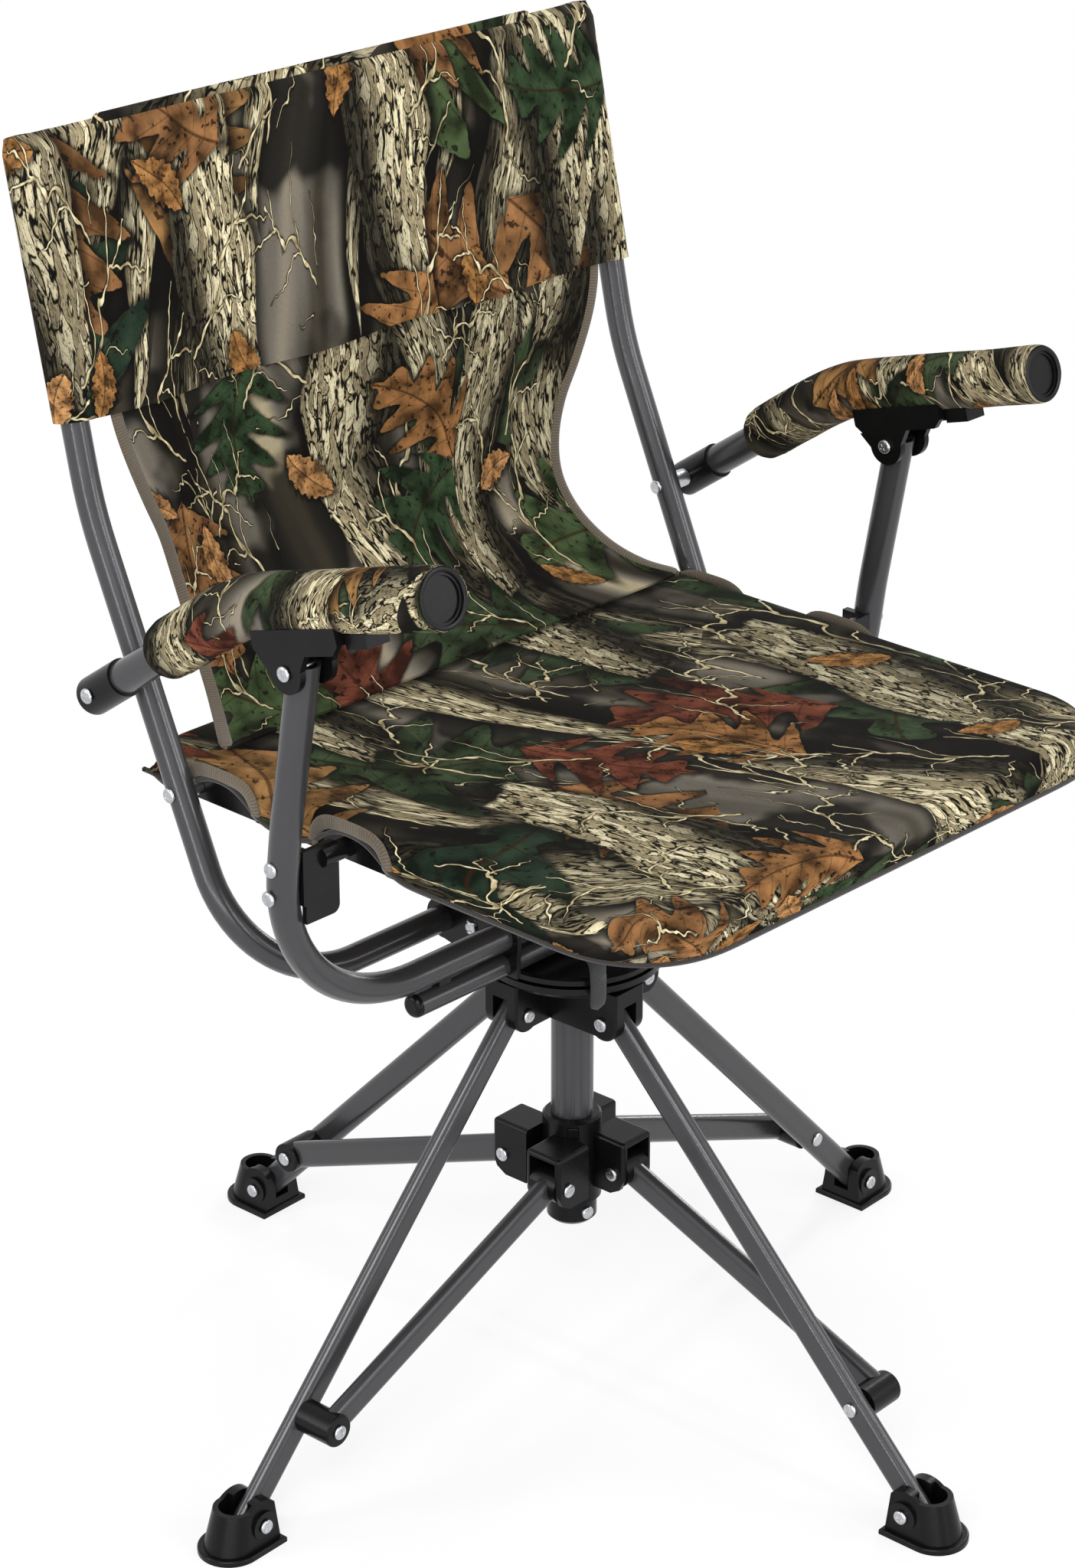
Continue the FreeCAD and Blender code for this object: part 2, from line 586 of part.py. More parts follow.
def make_strut(k):
    inner, outer = strut_ends()
    way = (outer - inner).normalize()
    node = "strut_%d" % k
    seat = number(S.barrel_radius) * 0.45
    start = inner + way * seat
    length = (outer - inner).Length - 2 * seat
    frame = leg_frame(k, axis_frame(start, way))
    body = flat_tube(node, length, S.strut_width, S.strut_thick, S.leg_wall, frame)
    keep(node, body)
    # moulded eye in the runner and barrel beside the leg, each socketed for the tube
    core = Part.makeBox(number(S.strut_width) - number(S.strut_thick), number(S.strut_thick), length)
    core.translate(V(-core.BoundBox.XLength / 2, -core.BoundBox.YLength / 2, 0))
    for side in (-1, 1):
        core = core.fuse(Part.makeCylinder(number(S.strut_thick) / 2, length,
                                           V(side * (number(S.strut_width) - number(S.strut_thick)) / 2, 0, 0)))
    core.Placement = axis_frame(start, way)
    side, other = runner_sides()
    low = number(side + S.runner_wall + S.slip_gap)
    high = number(other - S.runner_wall - S.slip_gap)
    eye = bar_across(inner.x, inner.z, S.barrel_radius, low, high)
    eye = eye.cut(bar_across(inner.x, inner.z, S.pin_radius + S.running_gap, low, high))
    face = number(S.leg_thick / 2 + S.slip_gap - S.leg_offset)
    end = number(S.barrel_end)
    barrel = bar_across(outer.x, outer.z, S.barrel_radius, face, end)
    rim = [edge for edge in barrel.Edges if edge.Curve.TypeId == "Part::GeomCircle"
           and abs(edge.Curve.Center.y - end) < 0.1]
    barrel = barrel.makeFillet(number(S.barrel_edge_round), rim)
    barrel = barrel.cut(bar_across(outer.x, outer.z, S.pin_radius, face, end))
    both = Part.makeCompound([eye.cut(core), barrel.cut(core)])
    shape_part("strut_fittings_%d" % k, around(both, LEG_TURNS[k - 1]))
    bolt = screw_head(V(outer.x, face, outer.z), V(0, 1, 0), end - face)
    bore = bar_across(outer.x, outer.z, S.pin_radius, face, end)
    shape_part("strut_bolt_%d" % k, around(bolt, LEG_TURNS[k - 1]))
    cut_later(node, around(bore, LEG_TURNS[k - 1]))
    pin_way = bar_across(inner.x, inner.z, S.pin_radius + S.running_gap, low, high)
    cut_later(node, around(pin_way, LEG_TURNS[k - 1]))


def toe_outline(half, toe, heel, level):
    """A level D-shaped outline: square at the heel, half round at the toe."""
    half, toe, heel, level = number(half), number(toe), number(heel), number(level)
    left, tip, right = V(toe, -half, level), V(toe + half, 0, level), V(toe, half, level)
    rear_left, rear_right = V(heel, -half, level), V(heel, half, level)
    return Part.Wire([Part.Arc(left, tip, right).toShape(), Part.makeLine(right, rear_right),
                      Part.makeLine(rear_right, rear_left), Part.makeLine(rear_left, left)])


def make_foot(k):
    """A foot: a flanged sole and a tapered shoe with two round ears that hold the leg's end."""
    pin_x, pin_z = -S.foot_pin_inset, S.foot_pin_height
    heel = pin_x - S.foot_heel
    base, lip, wall = S.foot_flange_thick, S.foot_sole_lip, S.foot_wall
    top = pin_z + S.foot_ear_radius
    sole = Part.Face(toe_outline(S.foot_base_half + lip, S.foot_toe, heel - lip / 2, 0.0))
    sole = sole.extrude(V(0, 0, number(base)))
    upper = [edge for edge in sole.Edges if edge.BoundBox.ZMin > number(base) - 0.01]
    sole = sole.makeFillet(number(base) / 3, upper)
    shoe = Part.makeLoft([toe_outline(S.foot_base_half, S.foot_toe, heel, base),
                          toe_outline(S.foot_rim_half, 0.0, heel + wall / 2, top)], True, True)
    lug_half = S.foot_lug_half
    shoe = shoe.fuse(bar_across(pin_x, pin_z, S.foot_lug_radius, -lug_half, lug_half))
    # the ears are round over the pin, and the toe's rim is lower
    wide = S.foot_base_half * 2
    left = prism([(heel - lip, base), (wide, base), (wide, S.foot_rim_height), (pin_x, S.foot_rim_height),
                  (heel - lip, pin_z + S.foot_ear_radius / 2)], -wide, wide)
    shoe = shoe.common(left.fuse(bar_across(pin_x, pin_z, S.foot_ear_radius, -wide, wide)))
    well = Part.makeLoft([toe_outline(S.foot_rim_half - wall, 0.0, pin_x + wall * 2, S.foot_rim_height
                                      - S.foot_well_depth),
                          toe_outline(S.foot_rim_half - wall, 0.0, pin_x + wall * 2, top)], True, True)
    slot_half = S.leg_thick / 2 + S.leg_side_gap
    slot_floor = base + S.leg_side_gap
    slot = prism([(heel + wall, slot_floor), (wall, slot_floor), (wall, top + wall),
                  (heel - lip, top + wall), (heel - lip, S.foot_heel_wall),
                  (heel + wall, S.foot_heel_wall)], -slot_half, slot_half)
    hole = bar_across(pin_x, pin_z, S.pin_radius + S.running_gap, -wide, wide)
    foot = sole.fuse(shoe.cut(well)).cut([slot, hole]).removeSplitter()
    foot.translate(V(number(S.foot_reach), -number(S.leg_offset), 0))
    shape_part("foot_%d" % k, around(foot, LEG_TURNS[k - 1]))


def make_runner():
    """The sliding hub: a collar with four boxes, each open below and outwards for its strut's eye."""
    bore = S.column_radius + S.running_gap
    low = S.cap_top + S.slip_gap
    top, bottom, reach = S.runner_box_top, S.runner_box_bottom, S.runner_box_reach
    rise, run = S.runner_toe_rise, S.runner_toe_run
    hub = turned([
        (bore, low), (S.runner_collar_radius, low),
        (S.runner_collar_radius, S.runner_collar_top - S.runner_bevel),
        (S.runner_collar_radius - S.runner_bevel, S.runner_collar_top), (bore, S.runner_collar_top)])
    side, other = runner_sides()
    inner = S.column_radius + S.runner_wall / 2
    box = prism([(inner, top), (reach, top), (reach, bottom + rise), (reach - run / 3, bottom + rise / 3),
                 (reach - run, bottom), (inner, bottom)], side, other)
    edges = [edge for edge in box.Edges if edge.BoundBox.XMax > number(reach) - 0.01
             and edge.BoundBox.ZMax > number(top) - 0.01]
    edges += [edge for edge in box.Edges if edge.BoundBox.ZMin > number(top) - 0.01
              and edge.BoundBox.YLength < 0.01]
    box = box.makeFillet(number(S.runner_edge_round), edges)
    wall = S.runner_wall
    back = S.runner_collar_radius + wall / 2
    groove = prism([(back, top - wall), (reach + wall, top - wall), (reach + wall, bottom - wall),
                    (back, bottom - wall)], side + wall, other - wall)
    hole = bar_across(S.runner_pin_reach, S.runner_pin_height, S.pin_radius, side - wall, other + wall)
    x, z = number(S.runner_pin_reach), number(S.runner_pin_height)
    pin = screw(V(x, number(side), z), V(x, number(other), z))
    hub = hub.fuse([around(box, turn) for turn in LEG_TURNS])
    hub = hub.cut([around(tool, turn) for tool in (groove, hole) for turn in LEG_TURNS])
    hub = hub.cut(Part.makeCylinder(number(bore), number(S.crown_top)))
    shape_part("runner_hub", hub.removeSplitter())
    shape_part("runner_pins", Part.makeCompound([around(pin, turn) for turn in LEG_TURNS]))
    # release button, set in a shallow pocket of the collar, between two boxes
    wide, tall, deep = number(S.button_width), number(S.button_height), number(S.button_depth)
    face = number(S.runner_collar_radius + S.button_stand)
    level = number(S.runner_collar_top - S.button_drop)
    button = Part.makeBox(deep, wide, tall, V(face - deep, -wide / 2, level))
    button = button.makeFillet(number(S.button_stand), [edge for edge in button.Edges
                                                        if abs(edge.CenterOfMass.x - face) < 0.01])
    gap = number(S.slip_gap)
    room = Part.makeBox(deep + number(S.button_travel) + gap, wide + 2 * gap, tall + 2 * gap,
                        V(face - deep - number(S.button_travel) - gap, -wide / 2 - gap, level - gap))
    shape_part("runner_button", around(button, BUTTON_TURN))
    cut_later("runner_hub", around(room, BUTTON_TURN))


BUTTON_TURN = -135.0


# ---------------------------------------------------------------- carrier and hoops

def hoop_points(half, run, knee, top):
    """One side of a U-shaped hoop: top, knee and bottom corner, then the other side."""
    side = [V(half, *top), V(half, *knee), V(half, *run)]
    return [V(-p.x, p.y, p.z) for p in side] + [side[2], side[1], side[0]]


def front_points():
    return hoop_points(number(S.front_half_width), (number(S.front_run_y), number(S.front_run_z)),
                       (number(S.front_knee_y), number(S.front_knee_z)),
                       (number(S.front_top_y), number(S.front_top_z)))


def rear_points():
    return hoop_points(number(S.rear_half_width), (number(S.rear_run_y), number(S.rear_run_z)),
                       (number(S.rear_knee_y), number(S.rear_knee_z)),
                       (number(S.rear_top_y), number(S.rear_top_z)))


def on_line(a, b, z):
    """The point at height z on the line through a and b."""
    return a + (b - a) * ((z - a.z) / (b.z - a.z))


def front_path():
    """The middle line of the front hoop, from the top of one upright to the other's."""
    points = front_points()
    over = number(S.front_overrun)
    points[0] = points[0] + (points[0] - points[1]).normalize() * over
    points[-1] = points[-1] + (points[-1] - points[-2]).normalize() * over
    knee, bend = number(S.front_knee_radius), number(S.front_bend_radius)
    return rounded_path(points, (knee, bend, bend, knee))


def make_carrier(plate_top):
    shape_part("front_hoop", tube(front_path(), S.front_tube_radius, S.tube_wall))

    y, bar_z = S.front_run_y, plate_top + S.bar_radius
    outer = doc.addObject("Part::Cylinder", "bar_outer")
    inner = doc.addObject("Part::Cylinder", "bar_inner")
    for item, radius in ((outer, S.bar_radius), (inner, S.bar_radius - S.tube_wall)):
        bind(item, Radius=radius, Height=S.bar_half_length * 2)
        item.Placement = FreeCAD.Placement(V(-number(S.bar_half_length), number(y), number(bar_z)),
                                           FreeCAD.Rotation(V(0, 1, 0), 90))
    bar = doc.addObject("Part::Cut", "carrier_bar")
    bar.Base, bar.Tool = outer, inner
    keep("carrier_bar", bar)

    end = V(number(S.bar_half_length), number(y), number(bar_z))
    thick = number(S.bar_cap_thick)
    plug = cylinder(end - V(number(S.bar_plug_length), 0, 0), end, S.bar_radius - S.tube_wall)
    dome = cylinder(end, end + V(thick, 0, 0), S.bar_radius)
    rim = [edge for edge in dome.Edges if edge.Curve.TypeId == "Part::GeomCircle"
           and edge.Curve.Center.x > end.x + thick / 2]
    cap = plug.fuse(dome.makeFillet(thick * 0.84, rim)).removeSplitter()
    shape_part("bar_caps", Part.makeCompound([cap, mirrored(cap)]))

    # tabs join the bar to the hoop's run above it
    run = V(0, number(y), number(S.front_run_z))
    reach = V(number(S.bar_half_length), 0, 0)
    long, thick, tabs = number(S.tab_length), number(S.tab_thick), []
    for x in (number(S.tab_inner_x), number(S.tab_outer_x)):
        tab = Part.makeBox(long, thick, run.z - end.z, V(x - long / 2, run.y - thick / 2, end.z))
        tab = tab.cut([cylinder(end - reach * 2, end, S.bar_radius),
                       cylinder(run - reach, run + reach, S.front_tube_radius)])
        tabs += [tab, mirrored(tab)]
    shape_part("bar_tabs", Part.makeCompound(tabs))

    make_hinge_plates(plate_top)
    make_seat_locks()
    make_strap()
    # cross-pins in the hoop's tops, which carry the arm saddles
    half = V(number(S.saddle_half_width + S.slip_gap), 0, 0)
    top = front_points()[-1]
    pin = screw(top - half, top + half)
    hole = cylinder(top - half, top + half, S.pin_radius)
    for tool in (hole, mirrored(hole)):
        cut_later("front_hoop", tool)
    CARRIER_SCREWS.extend([pin, mirrored(pin)])


def make_hinge_plates(plate_top):
    """Two upright plates on the swivel plate: they hold the front run and hinge the rear run."""
    eye, foot = number(S.hinge_eye_radius), number(S.hinge_plate_foot)
    front = V(0, number(S.front_run_y), number(S.front_run_z))
    rear = V(0, number(S.rear_run_y), number(S.rear_run_z))
    across = V(number(S.hinge_plate_thick), 0, 0)
    base = number(plate_top)
    link = rear - front
    up = V(0, -link.z, link.y).normalize() * eye
    lower = base + number(S.hinge_plate_lift)
    web = Part.Face(Part.makePolygon([front + up, rear + up, rear - up, V(0, front.y + foot, lower),
                                      V(0, front.y - foot, lower), front - V(0, eye, 0), front + up]))
    plate = web.extrude(across)
    for centre in (front, rear):
        plate = plate.fuse(cylinder(centre, centre + across, eye))
    bar = V(0, front.y, base + number(S.bar_radius))
    middle = (front + rear) / 2
    holes = ((front, S.front_tube_radius), (rear, S.rear_tube_radius + S.running_gap), (bar, S.bar_radius),
             (middle, S.pin_radius))
    holes = [cylinder(centre, centre + across, radius) for centre, radius in holes]
    plate = plate.removeSplitter().cut(holes)
    x = V(number(S.hinge_plate_x - S.hinge_plate_thick / 2), 0, 0)
    plate.translate(x)
    bolt = screw(x + middle, x + middle + across)
    shape_part("hinge_plates", Part.makeCompound([plate, mirrored(plate)]))
    CARRIER_SCREWS.extend([bolt, mirrored(bolt)])


def lock_line(z):
    """The point on the right upright's middle line at height z."""
    points = front_points()
    return on_line(points[4], points[3], z)


def make_seat_locks():
    """Angle brackets inside the front hoop, each with a round boss that meets the seat rail."""
    high, low = number(S.lock_screw_high), number(S.lock_screw_low)
    thick, margin, half = number(S.lock_thick), number(S.lock_margin), number(S.lock_flange_half)
    inside = number(S.front_half_width - S.front_tube_radius)
    middle = lock_line((high + low) / 2).y
    bottom = low - margin
    flange = Part.makeBox(thick + number(S.lock_seat), 2 * half, high + margin - bottom,
                          V(inside - thick, middle - half, bottom))
    reach = number(S.lock_leaf)
    edge = middle - half
    leaf = Part.makeBox(reach, thick, high + margin - bottom + number(S.lock_foot_drop),
                        V(inside - reach, edge, bottom - number(S.lock_foot_drop)))
    corners = [edge for edge in leaf.Edges if edge.BoundBox.YLength > thick / 2
               and edge.BoundBox.XMax < inside - reach / 2]
    leaf = leaf.makeFillet(number(S.lock_corner), corners)
    seat_face = V(number(S.rail_half_width + S.slip_gap), edge + thick / 2, number(S.seat_pivot_z))
    boss = cylinder(seat_face, V(inside - reach / 2, seat_face.y, seat_face.z), S.lock_boss_radius)
    lock = leaf.fuse([flange, boss]).removeSplitter().cut(pipe(front_path(), S.front_tube_radius))
    lock = max(lock.Solids, key=lambda solid: solid.Volume)
    screws = []
    for z in (high, low):
        centre = lock_line(z)
        start = V(inside - thick, centre.y, z)
        end = centre + V(number(S.front_tube_radius), 0, 0)
        hole = cylinder(start, end, S.pin_radius)
        lock = lock.cut(hole)
        screws.append(screw(start, end))
        for tool in (hole, mirrored(hole)):
            cut_later("front_hoop", tool)
    shape_part("seat_locks", Part.makeCompound([lock, mirrored(lock)]))
    CARRIER_SCREWS.extend(screws + [mirrored(item) for item in screws])


def make_strap():
    """A webbing tail looped over the front run and hanging past the swivel plate's rim."""
    thick = number(S.strap_thick)
    across = V(number(S.strap_width), 0, 0)
    run = V(0, number(S.front_run_y), number(S.front_run_z))
    radius, rise, fall = number(S.front_tube_radius), number(S.strap_rise), number(S.strap_fall)
    reach, end = -number(S.strap_reach), number(S.strap_end_z)
    ahead = run.y - radius - rise
    outer = [V(0, run.y, run.z + radius + thick), V(0, ahead, run.z + radius - thick / 2),
             V(0, reach, run.z - fall), V(0, reach, end), V(0, reach + thick, end),
             V(0, reach + thick, run.z - fall - thick), V(0, ahead, run.z + radius - rise),
             V(0, run.y, run.z + radius)]
    strip = Part.Face(Part.makePolygon(outer + outer[:1])).extrude(across)
    strap = strip.fuse(cylinder(run, run + across, radius + thick)).cut(cylinder(run, run + across, radius))
    strap = strap.removeSplitter()
    strap.translate(V(number(S.strap_x), 0, 0) - across / 2)
    shape_part("strap", strap)


def make_rear_hoop():
    bend, knee_radius = number(S.rear_bend_radius), number(S.rear_knee_radius)
    path = rounded_path(rear_points(), (knee_radius, bend, bend, knee_radius))
    shape_part("rear_hoop", tube(path, S.rear_tube_radius, S.tube_wall))
    top, knee = rear_points()[-1], rear_points()[-2]
    way = (top - knee).normalize()
    plug = cylinder(top - way * number(S.hoop_plug_length), top, S.rear_tube_radius - S.tube_wall)
    lid = cylinder(top, top + way * number(S.hoop_plug_thick), S.rear_tube_radius)
    plug = plug.fuse(lid).removeSplitter()
    shape_part("hoop_plugs", Part.makeCompound([plug, mirrored(plug)]))

    inside, outside = S.rear_half_width - S.rear_tube_radius, S.rear_half_width + S.rear_tube_radius
    arm_gap = S.arm_end_radius + S.slip_gap
    rail_face = S.rail_half_width + S.slip_gap
    make_pivot("arm_pivots", path, S.arm_pivot_y, S.arm_pivot_z, (inside, S.front_half_width + arm_gap),
               (outside - S.bush_seat, S.front_half_width - arm_gap))
    make_pivot("seat_pivots", path, S.seat_pivot_y, S.seat_pivot_z,
               (S.rail_half_width - S.rail_width - S.slip_gap, outside), (rail_face, inside + S.bush_seat))


def make_pivot(node, path, y, z, pin_ends, bush_ends):
    """A pair of cross-pins through the rear hoop, each with a spacing bush seated on the tube."""
    start, end = [V(number(x), number(y), number(z)) for x in pin_ends]
    low, high = [V(number(x), number(y), number(z)) for x in bush_ends]
    pin = screw(start, end)
    hole = cylinder(start, end, S.pin_radius)
    bush = cylinder(low, high, S.bush_radius).cut([hole, pipe(path, S.rear_tube_radius)])
    shape_part(node, Part.makeCompound([pin, bush, mirrored(pin), mirrored(bush)]))
    for tool in (hole, mirrored(hole)):
        cut_later("rear_hoop", tool)


# ---------------------------------------------------------------- seat and back covers

def make_seat():
    body = new_body("seat_frame")
    ring = new_sketch(body, "seat_ring", "XY_Plane", S.rail_bottom)
    edge, wide = S.rail_half_width, S.rail_width
    add_rounded(ring, edge, S.seat_front_y, S.seat_rear_y, S.seat_front_corner, S.seat_rear_corner)
    add_rounded(ring, edge - wide, S.seat_front_y + wide, S.seat_rear_y - wide,
                S.seat_front_corner - wide, S.seat_rear_corner - wide)
    pad(body, ring, S.rail_height)
    hole = new_sketch(body, "seat_hole", "YZ_Plane")
    add_circle(hole, S.seat_pivot_y, S.seat_pivot_z, S.pin_radius + S.running_gap)
    pocket(body, hole, (edge + wide) * 2, both_ways=True)
    keep("seat_frame", body)

    # cover: a sling over the frame with a skirt down its sides, cut away at the fittings
    body = new_body("seat_cover")
    skirt = S.cover_skirt
    top = new_sketch(body, "cover_outline", "XY_Plane", S.rail_bottom)
    add_rounded(top, edge + skirt, S.seat_front_y - skirt, S.seat_rear_y + skirt,
                S.seat_front_corner + skirt, S.seat_rear_corner + skirt)
    pad(body, top, S.rail_height + S.cover_thick)
    under = new_sketch(body, "cover_under", "XY_Plane", S.rail_bottom)
    add_rounded(under, edge, S.seat_front_y, S.seat_rear_y, S.seat_front_corner, S.seat_rear_corner)
    pocket(body, under, S.rail_height, reverse=True)
    half, corner = S.cover_cutout, S.cover_cut_corner
    low, high = S.rail_bottom - S.cover_thick, S.rail_bottom + S.rail_height + S.cover_cut_rise
    shoulder = high - S.cover_cut_slant
    front_gap = lock_line(number(S.seat_pivot_z)).y - S.lock_flange_half + S.lock_thick / 2
    for name, y in (("cover_rear_gap", S.seat_pivot_y - S.rear_cutout_lead), ("cover_front_gap", front_gap)):
        gap = new_sketch(body, name, "YZ_Plane")
        add_outline(gap, [(y - half, low), (y + half, low), (y + half, shoulder), (y + half - corner, high),
                          (y - half + corner, high), (y - half, shoulder)])
        pocket(body, gap, (edge + wide) * 2, both_ways=True)
    keep("seat_cover", body)


def make_back():
    points = rear_points()
    top, knee = points[-1], points[-2]
    low, high = number(S.back_low_z), number(S.back_high_z)
    a, b = on_line(knee, top, low), on_line(knee, top, high)
    radius = number(S.cover_sleeve_radius)
    sleeve = cylinder(a, b, radius)
    thick = number(S.panel_thick)
    half = number(S.rear_half_width)
    across = V(2 * half, 0, 0)
    side = (b - a).normalize()
    normal = V(0, -side.z, side.y).normalize()
    front = normal * (radius - thick)
    corners = [a + front, b + front, b + front - across, a + front - across]
    face = Part.Face(Part.makePolygon(corners + corners[:1]))
    upper = face.extrude(normal * thick).fuse([sleeve, mirrored(sleeve)])
    # lower panel: hangs from the seam, then turns forward over the seat's rear edge
    seam = (a + front).y
    hang, foot_y = number(S.panel_hang_y), number(S.panel_foot_y)
    waist, foot_z = number(S.panel_waist_z), number(S.panel_foot_z)
    start, full, drop = low + number(S.panel_lap), number(S.panel_fullness), number(S.panel_foot_drop)
    curve = Part.BSplineCurve()
    curve.interpolate([V(0, seam, start), V(0, hang, (low + waist) / 2 + number(S.panel_belly)),
                       V(0, hang - full, waist),
                       V(0, (hang + foot_y) / 2 + 2 * full, (waist + foot_z) / 2 - full / 2),
                       V(0, foot_y, foot_z)])
    sheet = Part.Wire(curve.toShape()).extrude(across)
    sheet.translate(V(-half, 0, 0))
    slab = sheet.makeOffsetShape(-thick, 0.01, fill=True)
    seam_half, waist_half = half - number(S.seam_inset), half - number(S.waist_inset)
    foot_half, bottom = half - number(S.foot_inset), foot_z - drop
    edge = Part.BSplineCurve()
    edge.interpolate([V(seam_half, 0, start), V((seam_half + waist_half) / 2, 0, (low + waist - drop) / 2),
                      V(waist_half, 0, waist), V(foot_half, 0, bottom)])
    right = edge.toShape()
    loop = Part.Wire([right, Part.makeLine(V(foot_half, 0, bottom), V(-foot_half, 0, bottom)),
                      mirrored(right), Part.makeLine(V(-seam_half, 0, start), V(seam_half, 0, start))])
    outline = Part.Face(loop).extrude(V(0, 2 * top.y, 0))
    cover = upper.fuse(slab.common(outline)).removeSplitter()
    hoop = cylinder(a - side * radius * 2, b, S.rear_tube_radius)
    shape_part("back_cover", cover.cut([hoop, mirrored(hoop)]))


# ---------------------------------------------------------------- arms

def arm_points():
    x = number(S.front_half_width)
    pivot = V(x, number(S.arm_pivot_y), number(S.arm_pivot_z))
    bend = V(x, number(S.arm_bend_y), number(S.arm_bend_z))
    front = V(x, number(S.arm_front_y), number(S.arm_front_z))
    return pivot, bend, front


def sub_path(start_gap, end_gap=0.0):
    """The arm's path, begun a little way along its rear run and ended a little way short."""
    pivot, bend, front = arm_points()
    start = pivot + (bend - pivot).normalize() * start_gap
    end = front - (front - bend).normalize() * end_gap
    return rounded_path([start, bend, end], (number(S.arm_bend_radius),))


def make_arms():
    pivot, bend, front = arm_points()
    rear_way = (bend - pivot).normalize()
    front_way = (front - bend).normalize()
    over, rounding = number(S.arm_end_overrun), number(S.arm_end_round)
    across = V(number(S.arm_end_radius) * 2, 0, 0)
    bore = cylinder(pivot - across, pivot + across, S.pin_radius + S.running_gap)
    depth = number(S.arm_cap_thick + S.arm_cap_recess)
    path = sub_path(rounding - over, depth)
    arm_tube = tube(path, S.arm_tube_radius, S.tube_wall).cut(bore)

    end = cylinder(pivot - rear_way * over, pivot + rear_way * number(S.arm_end_length), S.arm_end_radius)
    rims = [edge for edge in end.Edges if edge.Curve.TypeId == "Part::GeomCircle"
            and (edge.Curve.Center - pivot).dot(rear_way) < 0]
    end = end.makeFillet(rounding, rims).cut([pipe(path, S.arm_tube_radius), bore])

    # the end cap sits a little way inside the sleeve's mouth, and its face is dished
    inner, face = front - front_way * depth, front - front_way * number(S.arm_cap_recess)
    cap = cylinder(inner, face, S.arm_cap_radius)
    dish = cylinder(face - front_way * number(S.arm_cap_recess), front, S.arm_cap_radius - S.arm_cap_rim)
    cap = cap.cut(dish)

    # stop block under the arm, just ahead of the saddle
    stop_at = bend + front_way * (saddle_along() + number(S.saddle_front + S.stop_gap))
    wide, long, drop = number(S.stop_width), number(S.stop_length), number(S.stop_drop)
    block = Part.makeBox(drop, wide, long, V(0, -wide / 2, 0))
    block.Placement = axis_frame(stop_at, front_way, V(1, 0, 0))
    block = block.cut(pipe(path, S.arm_tube_radius))
    block = max(block.Solids, key=lambda solid: solid.Volume)

    sleeve = pipe(sub_path(number(S.arm_sleeve_start)), S.arm_sleeve_radius)
    sleeve = sleeve.cut([pipe(path, S.arm_tube_radius), block, cylinder(inner, front, S.arm_cap_radius)])
    for side, turn in (("right", lambda shape: shape), ("left", mirrored)):
        shape_part("arm_tube_" + side, turn(arm_tube))
        shape_part("arm_caps_" + side, turn(Part.makeCompound([end, cap, block])))
        shape_part("arm_sleeve_" + side, turn(sleeve))
    make_saddles()


def saddle_along():
    """Distance from the arm's bend to the point straight above the saddle's pivot."""
    bend, front = arm_points()[1:]
    top = V(bend.x, number(S.front_top_y), number(S.front_top_z))
    return (top - bend).dot((front - bend).normalize())


def make_saddles():
    """A saddle on each front upright: a channel under the sleeve, with two round ears on a cross-pin."""
    bend, front = arm_points()[1:]
    way = (front - bend).normalize()
    pin = V(bend.x, number(S.front_top_y), number(S.front_top_z))
    axis_point = bend + way * saddle_along()
    up = (axis_point - pin).normalize()
    half, wall = number(S.saddle_half_width), number(S.saddle_wall)
    ahead, behind = number(S.saddle_front), number(S.saddle_rear)
    seat = (axis_point - pin).Length - number(S.arm_sleeve_radius + S.slip_gap)
    top, floor = seat + number(S.saddle_rise), seat - number(S.saddle_floor)
    lip, corner = floor - number(S.saddle_skirt), number(S.saddle_corner)
    lobe, spread = number(S.saddle_lobe_radius), number(S.saddle_ear_spread)

    def slab(points, width):
        outline = [pin + way * along + up * high - V(width, 0, 0) for along, high in points]
        return Part.Face(Part.makePolygon(outline + outline[:1])).extrude(V(2 * width, 0, 0))

    saddle = slab([(-behind, top), (-behind, lip + corner), (corner - behind, lip), (-lobe - spread, lip),
                   (-lobe, 0), (lobe, 0), (lobe + spread, lip), (ahead - corner, lip), (ahead, lip + corner),
                   (ahead, top)], half)
    eye = V(half, 0, 0)
    saddle = saddle.fuse(cylinder(pin - eye, pin + eye, lobe)).removeSplitter()
    hollow = slab([(-behind - wall, floor), (ahead + wall, floor), (ahead + wall, -2 * lobe),
                   (-behind - wall, -2 * lobe)], half - wall)
    trough = cylinder(axis_point - way * behind * 2, axis_point + way * ahead * 2,
                      S.arm_sleeve_radius + S.slip_gap)
    bore = cylinder(pin - eye, pin + eye, S.pin_radius + S.running_gap)
    saddle = saddle.cut([hollow, trough, bore])
    shape_part("saddle_right", saddle)
    shape_part("saddle_left", mirrored(saddle))


# ---------------------------------------------------------------- build

def build():
    make_column()
    make_crown()
    plate_top = make_swivel()
    for k in (1, 2, 3, 4):
        make_leg(k)
        make_strut(k)
        make_foot(k)
    make_runner()
    make_carrier(plate_top)
    make_rear_hoop()
    make_seat()
    make_back()
    make_arms()
    shape_part("carrier_screws", Part.makeCompound(CARRIER_SCREWS))


def finished_shape(node):
    """The sub-part's shape, with the holes that its fasteners need."""
    item = PARTS[node]
    shape = item.Shape.copy()
    for tool in CUTS.get(node, []):
        shape = shape.cut(tool)
    return shape


build()
doc.recompute()
failed = [item.Label for item in doc.Objects if {"Invalid", "Error"} & set(item.State)]
if failed:
    raise RuntimeError("failed objects: %s" % failed)

